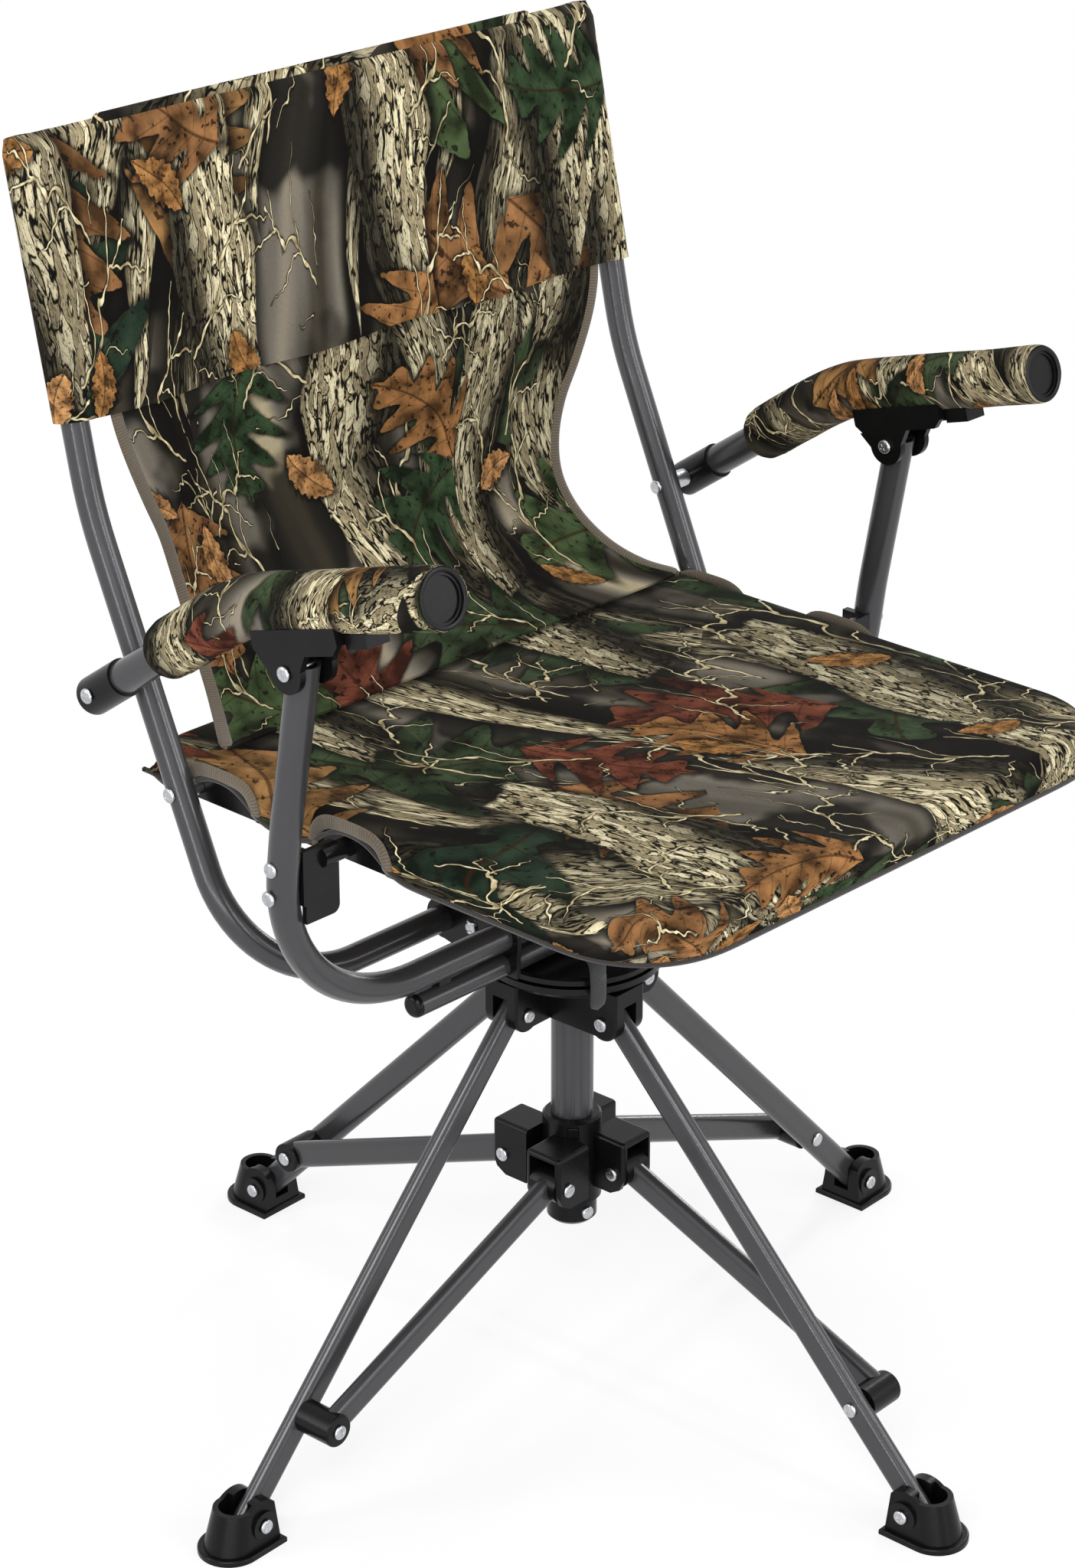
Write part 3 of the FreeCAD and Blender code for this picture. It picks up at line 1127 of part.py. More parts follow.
os.makedirs("parts", exist_ok=True)
for node in sorted(PARTS):
    shape = finished_shape(node)
    if shape.isNull() or not shape.isValid() or not shape.Solids:
        raise RuntimeError("bad shape: " + node)
    shape.exportStep("parts/%s.step" % node)
    box = shape.BoundBox
    print("%-20s %2d solids %9.1f mm3  %s" % (node, len(shape.Solids), shape.Volume, box))
print(len(PARTS), "nodes")
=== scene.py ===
"""Folding swivel chair: finishes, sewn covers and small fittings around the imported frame."""
import json
import math
import random

import bpy
from mathutils import Matrix, Vector, noise


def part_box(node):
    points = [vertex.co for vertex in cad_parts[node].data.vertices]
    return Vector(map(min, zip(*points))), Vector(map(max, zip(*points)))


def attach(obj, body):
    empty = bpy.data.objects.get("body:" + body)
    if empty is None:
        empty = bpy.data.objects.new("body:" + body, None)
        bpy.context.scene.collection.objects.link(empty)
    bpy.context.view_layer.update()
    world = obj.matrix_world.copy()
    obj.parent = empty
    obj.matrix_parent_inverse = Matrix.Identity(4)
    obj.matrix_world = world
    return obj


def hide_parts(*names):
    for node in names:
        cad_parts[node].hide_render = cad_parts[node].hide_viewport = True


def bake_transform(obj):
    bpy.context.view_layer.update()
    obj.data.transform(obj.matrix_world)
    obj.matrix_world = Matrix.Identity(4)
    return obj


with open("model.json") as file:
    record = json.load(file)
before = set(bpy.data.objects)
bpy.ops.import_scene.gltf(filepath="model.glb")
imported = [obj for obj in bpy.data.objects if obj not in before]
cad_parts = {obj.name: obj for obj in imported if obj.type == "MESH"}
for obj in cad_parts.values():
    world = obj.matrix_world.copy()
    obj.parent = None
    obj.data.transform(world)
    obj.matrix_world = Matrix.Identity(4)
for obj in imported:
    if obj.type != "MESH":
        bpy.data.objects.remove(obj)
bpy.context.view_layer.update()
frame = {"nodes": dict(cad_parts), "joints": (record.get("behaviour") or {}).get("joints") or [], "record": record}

bl_info = {
    "name": "Folding Swivel Chair",
    "version": (1, 0, 0),
    "blender": (4, 5, 0),
    "location": "View3D > Sidebar > Chair",
    "description": "Sews the covers and finishes the metal and plastic of a folding swivel chair",
    "category": "Object",
}

MM = 0.001


# ------------------------------------------------------------------ sizes and colours

def length(name, value, words):
    """A size property, with its default in millimetres."""
    return bpy.props.FloatProperty(name=name, description=words, default=value * MM, precision=4,
                                   unit="LENGTH")


def colour(name, code, words):
    """A colour property."""
    return bpy.props.StringProperty(name=name, default=code, description=words + ", as an sRGB hex value")


class ChairSizes(bpy.types.PropertyGroup):
    cloth_thick: length("Cloth thickness", 2.2, "Thickness of the sewn cloth with its backing")
    seat_front_corner: length("Seat front corner", 74.0, "Corner radius of the seat cover's front")
    seat_rear_corner: length("Seat rear corner", 30.0, "Corner radius of the seat cover's back")
    seat_roll: length("Seat edge roll", 9.0, "Radius where the seat cover rolls over its rail")
    corner_flare: length("Seat corner flare", 21.0, "How far the seat cover's rear corners stand out")
    seat_sag: length("Seat sag", 11.0, "How far the middle of the seat cover may sag")
    cord_radius: length("Edge cord radius", 1.9, "Radius of the cord along the seat cover's lower edge")
    binding_half: length("Binding half width", 5.2, "Half the visible width of the binding tape")
    binding_thick: length("Binding half thickness", 2.1, "Half the thickness of the folded binding tape")
    sleeve_radius: length("Tube sleeve radius", 13.2, "Radius of the cloth sleeve on the back's tubes")
    back_sag: length("Back sag", 7.0, "How far the back's cloth hangs behind its tubes")
    arm_pad_radius: length("Arm pad radius", 21.6, "Radius of the padded sleeve on each arm")
    strap_width: length("Strap width", 17.0, "Width of the webbing tail")
    screw_head: length("Screw head radius", 5.5, "Radius of the pan head screws")
    lens: bpy.props.FloatProperty(name="Lens", default=91.14, unit="CAMERA", description="Focal length")


class ChairColours(bpy.types.PropertyGroup):
    tube: colour("Tube paint", "#3f3f41", "Charcoal powder coat of the steel tubes")
    plastic: colour("Plastic", "#070708", "Moulded black nylon")
    enamel: colour("Enamel", "#080809", "Black enamel on pressed steel")
    zinc: colour("Zinc", "#c9cbce", "Bright zinc plate of the screws")
    ground: colour("Cloth ground", "#635e55", "Taupe ground of the printed cloth")
    bark_dark: colour("Bark dark", "#0c0b09", "Darkest streaks of the printed bark")
    bark_light: colour("Bark light", "#e0d5b0", "Palest streaks of the printed bark")
    rust: colour("Rust leaf", "#775434", "Rust leaves of the print")
    russet: colour("Russet leaf", "#5d3325", "Dark red-brown leaves of the print")
    moss: colour("Moss leaf", "#313d29", "Deep green leaves of the print")
    binding: colour("Binding", "#5f5444", "Taupe binding tape")
    webbing: colour("Webbing", "#1b1b1c", "Black webbing of the strap")


def sizes():
    """The chair's sizes as they stand in the sidebar."""
    return bpy.context.scene.chair_sizes


def colours():
    """The chair's colours as they stand in the sidebar."""
    return bpy.context.scene.chair_colours


# ------------------------------------------------------------------ materials

# the sockets by which a Mix node takes and gives colours
COLOUR_A, COLOUR_B, COLOUR_OUT = 6, 7, 2

# metres between the bands of a wave texture at a scale of 1
WAVE_PERIOD = 0.314


def linear(code, gain=1.0):
    """An sRGB hex value as an opaque linear colour, brightened or dimmed by a gain."""
    channels = [int(code[i:i + 2], 16) / 255 for i in (1, 3, 5)]
    channels = [c / 12.92 if c <= 0.04045 else ((c + 0.055) / 1.055) ** 2.4 for c in channels]
    return tuple(c * gain for c in channels) + (1.0,)


def per(size):
    """A texture's scale for a pattern of a size in millimetres."""
    return 1 / (size * MM)


def add(tree, kind, inputs=(), out=0, stops=(), **settings):
    """Adds a node with its settings, links or sets its inputs, and gives back one of its outputs.

    The kind may name an operation after a full stop. Stops are the (place, hex value) of a colour ramp.
    """
    kind, _, operation = kind.partition(".")
    node = tree.nodes.new("ShaderNode" + kind)
    if operation:
        node.operation = operation
    for name, value in settings.items():
        setattr(node, name, value)
    named = inputs if isinstance(inputs, dict) else dict(enumerate(inputs))
    for key, value in named.items():
        if isinstance(value, bpy.types.NodeSocket):
            tree.links.new(value, node.inputs[key])
        else:
            node.inputs[key].default_value = value
    points = node.color_ramp.elements if stops else ()
    while len(points) < len(stops):
        points.new(1.0)
    for point, (place, code) in zip(points, stops):
        point.position = place
        point.color = linear(code)
    return node.outputs[out]


def shader(name, **values):
    """A new material with its node tree and its Principled shader, whose own sockets are set."""
    material = bpy.data.materials.new(name)
    material.use_nodes = True
    tree = material.node_tree
    surface = tree.nodes["Principled BSDF"]
    for key, value in values.items():
        surface.inputs[key.replace("_", " ")].default_value = value
    return material, tree, surface


def lay(tree, base, *layers):
    """Lays (mask, colour) layers over a base colour, each over the one before."""
    for mask, above in layers:
        base = add(tree, "Mix", {"Factor": mask, COLOUR_A: base, COLOUR_B: above}, COLOUR_OUT,
                   data_type="RGBA")
    return base


def grain(tree, surface, source, grit, depth, height, low, high):
    """Fine noise, of a grit in millimetres, that stipples the surface and spreads its roughness."""
    speck = add(tree, "TexNoise", {"Vector": source, "Scale": per(grit), "Detail": 3.0, "Roughness": 0.6})
    rough = add(tree, "MapRange", {"Value": speck, "To Min": low, "To Max": high})
    bump = add(tree, "Bump", {"Height": speck, "Strength": depth, "Distance": height * MM})
    tree.links.new(rough, surface.inputs["Roughness"])
    tree.links.new(bump, surface.inputs["Normal"])


def mottled(name, patch, detail, stops, grit, **values):
    """A finish with close tones in soft patches, of a size in millimetres, under a fine grain.

    The grit is the grain's size, depth, height, and lowest and highest roughness.
    """
    material, tree, surface = shader(name, **values)
    source = add(tree, "TexCoord", out="Object")
    cloud = add(tree, "TexNoise", {"Vector": source, "Scale": per(patch), "Detail": detail})
    tree.links.new(add(tree, "ValToRGB", (cloud,), stops=stops), surface.inputs["Base Color"])
    grain(tree, surface, source, *grit)
    return material


def tube_paint():
    """Charcoal metallic powder coat on drawn steel tube: satin, with a fine metal flake."""
    material, tree, surface = shader("charcoal_powder_coat", Metallic=0.45)
    source = add(tree, "TexCoord", out="Object")
    # real flake is finer than a tenth of a millimetre, and is drawn coarser so that it shows
    flake = add(tree, "TexNoise", {"Vector": source, "Scale": per(1.11), "Detail": 2.0})
    cloud = add(tree, "TexNoise", {"Vector": source, "Scale": per(71.4), "Detail": 4.0})
    blend = add(tree, "Mix", {"Factor": 0.35, 2: flake, 3: cloud})
    tint = lay(tree, linear(colours().tube, 0.8), (blend, linear(colours().tube, 1.2)))
    tree.links.new(tint, surface.inputs["Base Color"])
    grain(tree, surface, source, 0.714, 0.02, 0.1, 0.22, 0.27)
    return material


def black_plastic():
    """Glass-filled nylon from a spark-eroded mould: deep black with a fine satin texture."""
    stops = [(0.3, colours().plastic), (0.7, "#0d0d0e")]
    grit = (0.909, 0.12, 0.3, 0.24, 0.34)
    return mottled("moulded_black_nylon", 25.0, 5.0, stops, grit, Specular_IOR_Level=0.16)


def black_enamel():
    """Stoved black enamel on pressed steel: smooth and glossier than the plastic."""
    stops = [(0.35, colours().enamel), (0.75, "#0f0f10")]
    grit = (3.33, 0.05, 0.4, 0.18, 0.28)
    return mottled("black_enamel", 16.67, 4.0, stops, grit, Specular_IOR_Level=0.22)


def zinc_plate():
    """Bright zinc plate on a rolled screw: silver with faint cloudy streaks."""
    stops = [(0.3, "#a9abae"), (0.7, colours().zinc)]
    grit = (1.43, 0.08, 0.2, 0.22, 0.36)
    return mottled("bright_zinc_plate", 2.857, 4.0, stops, grit, Metallic=1.0)


def tape(name, code, spacing):
    """Woven tape: ribs across its length, at a spacing in millimetres, with flecks; the rib tops are painted
    lighter and the grooves darker, as painted light and shade.
    """
    material, tree, surface = shader(name, Roughness=0.85, Sheen_Weight=0.25)
    flat = add(tree, "TexCoord", out="UV")
    ribs = {"Vector": flat, "Scale": WAVE_PERIOD * per(spacing), "Distortion": 0.4}
    ribs = add(tree, "TexWave", ribs, "Fac", bands_direction="Y")
    fleck = add(tree, "TexNoise", {"Vector": flat, "Scale": per(1.43), "Detail": 3.0})
    flecked_ribs_and_shade = add(tree, "Math.MULTIPLY", (ribs, fleck))
    # a dark and a light copy of the tape's colour, laid by the rib height: painted shade in the grooves and
    # painted light on the rib tops, with the flecks' own tone
    tint = lay(tree, linear(code, 0.55), (flecked_ribs_and_shade, linear(code, 1.35)))
    bump = add(tree, "Bump", {"Height": flecked_ribs_and_shade, "Strength": 0.5, "Distance": 0.6 * MM})
    tree.links.new(tint, surface.inputs["Base Color"])
    tree.links.new(bump, surface.inputs["Normal"])
    return material


# ------------------------------------------------------------------ the cloth's woodland print

def scattered(tree, place, size, turn, shift, randomness=0.85):
    """One motif per cell, of a size in millimetres: the place in its cell, and the cell's three chances."""
    cell = add(tree, "Mapping", {"Vector": place, "Location": (shift, shift * 1.7, 0.0),
                                 "Rotation": (0.0, 0.0, math.radians(turn)),
                                 "Scale": (per(size[0]), per(size[1]), 1.0)})
    middle = add(tree, "TexVoronoi", {"Vector": cell, "Scale": 1.0, "Randomness": randomness}, "Position",
                 voronoi_dimensions="2D")
    local = add(tree, "VectorMath.SUBTRACT", (cell, middle))
    chances = add(tree, "SeparateXYZ", (middle.node.outputs["Color"],)).node.outputs
    return local, chances


def veil(tree, value, low, high, strength=1.0):
    """A soft-edged mask that grows to a strength as a value goes from low to high."""
    fade = add(tree, "MapRange", {"Value": value, "From Min": low, "From Max": high},
               interpolation_type="SMOOTHSTEP")
    return add(tree, "Math.MULTIPLY", (fade, strength))


def plates(tree, local, size, wide, stretch, level, low, high):
    """Long plates of bark: their tone, and a mask that leaves out the furrows between them.

    The furrows are the level lines of a stretched noise.
    """
    wood = add(tree, "Mapping", {"Vector": local, "Location": (3.0, 5.0, level),
                                 "Scale": (size[0] / wide, size[1] / (wide * stretch), 1.0)})
    tone = add(tree, "TexNoise", {"Vector": wood, "Scale": 1.0, "Detail": 2.0, "Roughness": 0.45,
                                  "Distortion": 0.5})
    off = add(tree, "Math.ABSOLUTE", (add(tree, "Math.SUBTRACT", (tone, 0.5)),))
    return tone, veil(tree, off, low, high)


def bark(tree, place, below, size, turn, shift, keep, streak, half):
    """Printed limbs: tapering bands, lit down the middle, with long pale plates between dark furrows.

    A cell's size and the plates' width (streak) are in millimetres, keep is the share of the cells that
    have a limb, and half is the limb's half width as a share of its cell.
    """
    dark = linear(colours().bark_dark)
    local, (chance, tone, _) = scattered(tree, place, size, turn, shift)
    across, along, _ = add(tree, "SeparateXYZ", (local,)).node.outputs

    knobs = add(tree, "TexNoise", {"Vector": local, "Scale": 3.0, "Detail": 3.0})
    edge = add(tree, "Math.MULTIPLY_ADD", (knobs, 0.16, half - 0.08))
    taper = add(tree, "Math.MULTIPLY_ADD", (add(tree, "Math.ABSOLUTE", (along,)), 0.7, -0.22))
    edge = add(tree, "Math.SUBTRACT", (edge, add(tree, "Math.MAXIMUM", (taper, 0.0))))
    inside = add(tree, "Math.SUBTRACT", (edge, add(tree, "Math.ABSOLUTE", (across,))))
    shown = add(tree, "Math.GREATER_THAN", (chance, 1.0 - keep))
    shadow = add(tree, "Math.MULTIPLY", (shown, 0.88))

    coarse, coarse_mask = plates(tree, local, size, streak * 1.3, 9.0, 1.3, 0.018, 0.060)
    _, fine_mask = plates(tree, local, size, streak * 0.55, 10.0, 0.55, 0.006, 0.045)
    fine_mask = add(tree, "Math.MULTIPLY_ADD", (fine_mask, 0.75, 0.25))
    tint = add(tree, "ValToRGB", (coarse,), stops=[(0.36, "#93866a"), (0.48, "#b9ab85"),
                                                   (0.60, colours().bark_light)])
    tint = lay(tree, dark, (coarse_mask, tint))
    tint = lay(tree, linear("#2b261c"), (fine_mask, tint))

    # the limb is brightest a little to one side of its middle, as a round trunk is
    round_off = add(tree, "Math.DIVIDE", (add(tree, "Math.ADD", (across, 0.09)), half))
    lit = add(tree, "Math.MULTIPLY", (round_off, round_off))
    lit = add(tree, "Math.SUBTRACT", (1.0, lit), use_clamp=True)
    lit = add(tree, "Math.MULTIPLY_ADD", (lit, 0.95, 0.05))
    level = add(tree, "Math.MULTIPLY_ADD", (tone, 0.5, 0.65))
    lit = add(tree, "Math.MULTIPLY", (lit, level), use_clamp=True)
    tint = lay(tree, dark, (lit, tint))
    return lay(tree, below, (veil(tree, inside, -0.11, 0.01, shadow), dark),
               (veil(tree, inside, 0.0, 0.015, shown), tint))


def leaves(tree, place, below, size, shift, keep, stops, slim, lobes=5.0, depth=0.42):
    """Printed leaves with round lobes, a midrib, slanting veins, dark specks and a soft shadow.

    The size is in millimetres, slim is the half width and depth the lobes' depth as shares of it, and
    each leaf takes one of the stops' colours.
    """
    local, (spin, tone, chance) = scattered(tree, place, (size, size), 0.0, shift, 0.75)
    angle = add(tree, "Math.MULTIPLY", (spin, 2 * math.pi))
    spun = add(tree, "VectorRotate", {"Vector": local, "Angle": angle}, rotation_type="Z_AXIS")
    across, along, _ = add(tree, "SeparateXYZ", (spun,)).node.outputs

    # the midrib bends to one side, and the lobes and veins slant forward from it
    square = add(tree, "Math.MULTIPLY", (along, along))
    bent = add(tree, "Math.MULTIPLY_ADD", (square, 0.45, across))
    off = add(tree, "Math.ABSOLUTE", (bent,))
    slant = add(tree, "Math.MULTIPLY_ADD", (off, -0.55, along))
    turn = add(tree, "Math.MULTIPLY", (slant, 2 * math.pi * lobes))
    wave = add(tree, "Math.SINE", (turn,))
    lobe = add(tree, "Math.MULTIPLY_ADD", (wave, depth, 1.0 - depth * 0.6))
    oval = add(tree, "Math.MULTIPLY_ADD", (square, -5.2, 1.0))
    edge = add(tree, "Math.MULTIPLY", (add(tree, "Math.MULTIPLY", (oval, slim)), lobe))
    ragged = add(tree, "TexNoise", {"Vector": spun, "Scale": 11.0, "Detail": 4.0})
    ragged = add(tree, "Math.MULTIPLY_ADD", (ragged, 0.12, -0.06))
    inside = add(tree, "Math.SUBTRACT", (add(tree, "Math.ADD", (edge, ragged)), off))
    shown = add(tree, "Math.GREATER_THAN", (chance, 1.0 - keep))
    shadow = add(tree, "Math.MULTIPLY", (shown, 0.85))

    tint = add(tree, "ValToRGB", (tone,), stops=stops)
    tint.node.color_ramp.interpolation = "CONSTANT"
    patches = add(tree, "TexNoise", {"Vector": spun, "Scale": 6.0, "Detail": 4.0})
    glow = add(tree, "MapRange", {"Value": patches, "From Min": 0.30, "From Max": 0.62, "To Min": 1.7,
                                  "To Max": 0.25})
    tint = add(tree, "VectorMath.SCALE", {0: tint, "Scale": glow})
    veins = add(tree, "Math.ABSOLUTE", (wave,))
    specks = add(tree, "TexNoise", {"Vector": spun, "Scale": 26.0, "Detail": 2.0})
    tint = lay(tree, tint, (veil(tree, veins, 0.20, 0.0, 0.5), linear("#1a120b")),
               (veil(tree, specks, 0.60, 0.66, 0.85), linear("#120c08")),
               (veil(tree, off, 0.012, 0.004, 0.7), linear("#2a190c")))
    return lay(tree, below, (veil(tree, inside, -0.10, 0.01, shadow), linear(colours().bark_dark)),
               (veil(tree, inside, 0.0, 0.012, shown), tint))


def twigs(tree, place, below, size, turn, shift, keep, wide):
    """Thin pale twigs: a wandering stem with side shoots on both sides, each with a dark edge.

    The size and the stem's width are in millimetres.
    """
    cell = (size * 0.55, size)
    local, (chance, reach, _) = scattered(tree, place, cell, turn, shift, 0.8)
    across, along, _ = add(tree, "SeparateXYZ", (local,)).node.outputs
    bends = add(tree, "TexNoise", {"Vector": local, "Scale": 2.6, "Detail": 3.0, "Roughness": 0.6})
    bends = add(tree, "Math.MULTIPLY_ADD", (bends, 0.5, -0.25))
    across = add(tree, "Math.ADD", (across, bends))
    off = add(tree, "Math.ABSOLUTE", (across,))

    # the shoots leave the stem forwards, by turns on its two sides, and stop at their own reach
    side = add(tree, "Math.MULTIPLY", (add(tree, "Math.SIGN", (across,)), 0.21))
    climb = add(tree, "Math.MULTIPLY_ADD", (off, -0.95, along))
    shoot = add(tree, "Math.PINGPONG", (add(tree, "Math.ADD", (climb, side)), 0.19))
    shoot = add(tree, "Math.MULTIPLY_ADD", (off, 0.03, shoot))
    reach = add(tree, "Math.MULTIPLY_ADD", (reach, 0.28, 0.12))
    beyond = veil(tree, off, reach, add(tree, "Math.ADD", (reach, 0.04)), 0.2)
    shoot = add(tree, "Math.ADD", (shoot, beyond))
    stem = add(tree, "Math.MULTIPLY_ADD", (along, 0.012, off))
    near = add(tree, "Math.MINIMUM", (stem, shoot))
    tips = add(tree, "Math.SUBTRACT", (add(tree, "Math.ABSOLUTE", (along,)), 0.42))
    near = add(tree, "Math.ADD", (near, add(tree, "Math.MAXIMUM", (tips, 0.0))))

    girth = wide / cell[0] * 0.16
    inside = add(tree, "Math.SUBTRACT", (girth, near))
    shown = add(tree, "Math.GREATER_THAN", (chance, 1.0 - keep))
    shadow = add(tree, "Math.MULTIPLY", (shown, 0.85))
    tone = add(tree, "TexNoise", {"Vector": local, "Scale": 14.0, "Detail": 2.0})
    tint = add(tree, "ValToRGB", (tone,), stops=[(0.35, "#7d7053"), (0.5, "#b9ab84"), (0.65, "#ddd2ad")])
    return lay(tree, below, (veil(tree, inside, -girth * 1.6, 0.0, shadow), linear(colours().bark_dark)),
               (veil(tree, inside, 0.0, girth * 0.4, shown), tint))


def drift_of(tree, place, scale, reach):
    """A slow push on a place, by a reach over a scale in millimetres, that makes straight motifs wander."""
    drift = add(tree, "TexNoise", {"Vector": place, "Scale": per(scale), "Detail": 1.0}, "Color",
                noise_dimensions="2D")
    drift = add(tree, "VectorMath.SUBTRACT", (drift, (0.5, 0.5, 0.5)))
    return add(tree, "VectorMath.SCALE", {0: drift, "Scale": reach * MM})


def woodland(name, shift, turn):
    """Printed polyester: streaked limbs, leaves and twigs over a taupe ground, in a plain weave."""
    material, tree, surface = shader(name, Roughness=0.9, Specular_IOR_Level=0.06)
    flat = add(tree, "TexCoord", out="UV")
    laid = add(tree, "Mapping", {"Vector": flat, "Location": (shift, shift * 0.6, 0.0),
                                 "Rotation": (0.0, 0.0, math.radians(turn))})
    place = add(tree, "VectorMath.ADD", (laid, drift_of(tree, laid, 416.67, 90.0)))
    place = add(tree, "VectorMath.ADD", (place, drift_of(tree, laid, 90.91, 12.0)))

    # far trunks, out of focus, with deep gaps between them
    trunks = add(tree, "Mapping", {"Vector": place, "Scale": (per(45.455), per(625.0), 1.0)})
    trunks = add(tree, "TexNoise", {"Vector": trunks, "Scale": 1.0, "Detail": 1.5})
    stops = [(0.36, "#15130f"), (0.45, "#3c382f"), (0.54, colours().ground), (0.62, "#82796a"),
             (0.70, "#a1967a")]
    tint = add(tree, "ValToRGB", (trunks,), stops=stops)
    depth = add(tree, "TexNoise", {"Vector": place, "Scale": per(111.11), "Detail": 3.0})
    tint = lay(tree, tint, (veil(tree, depth, 0.47, 0.56, 0.92), linear("#0e0d0b")))

    # near limbs, leaves and twigs, each kind over the ones before
    rust, russet, moss = colours().rust, colours().russet, colours().moss
    greens = [(0.0, moss), (0.5, "#3c4a2e"), (0.8, "#1f2c20")]
    autumn = [(0.0, rust), (0.38, russet), (0.62, "#82603a"), (0.84, moss)]
    late = [(0.0, "#7f5935"), (0.45, rust), (0.7, russet), (0.85, "#2b3b26")]
    seeds = [(0.0, "#a0754a"), (0.5, "#8a6238")]
    tint = bark(tree, place, tint, (115, 800), 4.0, 1.3, 0.80, 2.6, 0.24)
    tint = bark(tree, place, tint, (150, 460), -48.0, 7.7, 0.70, 2.9, 0.23)
    tint = leaves(tree, place, tint, 200, 4.1, 0.42, greens, 0.34, 4.0)
    tint = twigs(tree, place, tint, 200, 20.0, 3.3, 0.75, 8.5)
    tint = leaves(tree, place, tint, 165, 9.4, 0.42, autumn, 0.33)
    tint = bark(tree, place, tint, (110, 400), 58.0, 12.9, 0.62, 2.5, 0.21)
    tint = leaves(tree, place, tint, 130, 17.2, 0.30, late, 0.33)
    tint = twigs(tree, place, tint, 170, -38.0, 8.8, 0.6, 7.0)
    tint = leaves(tree, place, tint, 62, 23.9, 0.14, seeds, 0.20, 9.0, 0.08)
    tint = twigs(tree, place, tint, 140, 68.0, 15.1, 0.45, 6.0)

    # threads are drawn about twice as coarse as the real 0.5 mm so that the weave still shows
    thread = 1.1
    across, along, _ = add(tree, "SeparateXYZ", (flat,)).node.outputs
    warp = add(tree, "Math.SINE", (add(tree, "Math.MULTIPLY", (across, 2 * math.pi * per(thread))),))
    weft = add(tree, "Math.SINE", (add(tree, "Math.MULTIPLY", (along, 2 * math.pi * per(thread))),))
    weave = add(tree, "Math.MULTIPLY", (warp, weft))
    slub = add(tree, "TexNoise", {"Vector": flat, "Scale": per(2.381), "Detail": 3.0})
    shade = add(tree, "Math.MULTIPLY_ADD", (slub, 0.3, 0.8))
    shade = add(tree, "Math.MULTIPLY_ADD", (weave, 0.06, shade))
    toned = add(tree, "VectorMath.SCALE", {0: tint, "Scale": shade})
    height = add(tree, "Math.MULTIPLY_ADD", (weave, 0.5, slub))
    bump = add(tree, "Bump", {"Height": height, "Strength": 0.35, "Distance": 0.5 * MM})
    tree.links.new(toned, surface.inputs["Base Color"])
    tree.links.new(bump, surface.inputs["Normal"])
    return material


# ------------------------------------------------------------------ making meshes

def deselect():
    """Leaves edit mode and selects nothing."""
    if bpy.context.object and bpy.context.object.mode != "OBJECT":
        bpy.ops.object.mode_set(mode="OBJECT")
    bpy.ops.object.select_all(action="DESELECT")


def choose(piece):
    """Selects one piece alone and makes it active."""
    deselect()
    piece.select_set(True)
    bpy.context.view_layer.objects.active = piece


def flat_cloth(name, columns, rows, place, flat, round_tube=False):
    """A grid of cloth with its UV map in flat metres; place gives each point from its shares (s, t)."""
    deselect()
    bpy.ops.mesh.primitive_grid_add(x_subdivisions=columns, y_subdivisions=rows, size=2.0, calc_uvs=True)
    piece = bpy.context.object
    piece.name = name
    mesh = piece.data
    for loop in mesh.uv_layers[0].data:
        loop.uv = (loop.uv[0] * flat[0], loop.uv[1] * flat[1])
    for vertex in mesh.vertices:
        vertex.co = place((vertex.co.x + 1) / 2, (vertex.co.y + 1) / 2)
    if round_tube:
        bpy.ops.object.mode_set(mode="EDIT")
        bpy.ops.mesh.select_all(action="SELECT")
        bpy.ops.mesh.remove_doubles(threshold=1e-6)
        bpy.ops.object.mode_set(mode="OBJECT")
    return piece


def modify(piece, kind, **settings):
    """Adds a modifier of a kind with its settings, and applies it."""
    choose(piece)
    modifier = piece.modifiers.new(kind.title(), kind)
    for key, value in settings.items():
        setattr(modifier, key, value)
    bpy.ops.object.modifier_apply(modifier=modifier.name)


def outward(piece):
    """Turns all of a closed piece's faces outwards."""
    choose(piece)
    bpy.ops.object.mode_set(mode="EDIT")
    bpy.ops.mesh.select_all(action="SELECT")
    bpy.ops.mesh.normals_make_consistent(inside=False)
    bpy.ops.object.mode_set(mode="OBJECT")


def dress(piece, material, body, smooth=40.0):
    """Gives a finished piece its material, its slot and, where it rides on one body, that body."""
    piece.data.materials.clear()
    piece.data.materials.append(material)
    choose(piece)
    bpy.ops.object.shade_smooth_by_angle(angle=math.radians(smooth))
    if body:
        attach(piece, body)


def smooth_line(points, steps):
    """Points along a smooth curve through the given points (Catmull-Rom)."""
    points = [Vector(p) for p in points]
    ends = [points[0] * 2 - points[1]] + points + [points[-1] * 2 - points[-2]]
    line = []
    for i in range(1, len(ends) - 2):
        a, b, c, d = ends[i - 1:i + 3]
        for k in range(steps):
            t = k / steps
            line.append(0.5 * ((2 * b) + (c - a) * t + (2 * a - 5 * b + 4 * c - d) * t * t
                               + (3 * b - a - 3 * c + d) * t ** 3))
    line.append(points[-1])
    return line


def along_line(line):
    """Running lengths along a line of points."""
    total = [0.0]
    for a, b in zip(line, line[1:]):
        total.append(total[-1] + (b - a).length)
    return total


def point_on(line, total, share):
    """The point and direction at a share of a line's length."""
    want = share * total[-1]
    low, high = 0, len(total) - 1
    while high - low > 1:
        middle = (low + high) // 2
        low, high = (middle, high) if total[middle] <= want else (low, middle)
    part = (want - total[low]) / max(total[high] - total[low], 1e-9)
    return line[low].lerp(line[high], min(max(part, 0.0), 1.0)), (line[high] - line[low]).normalized()


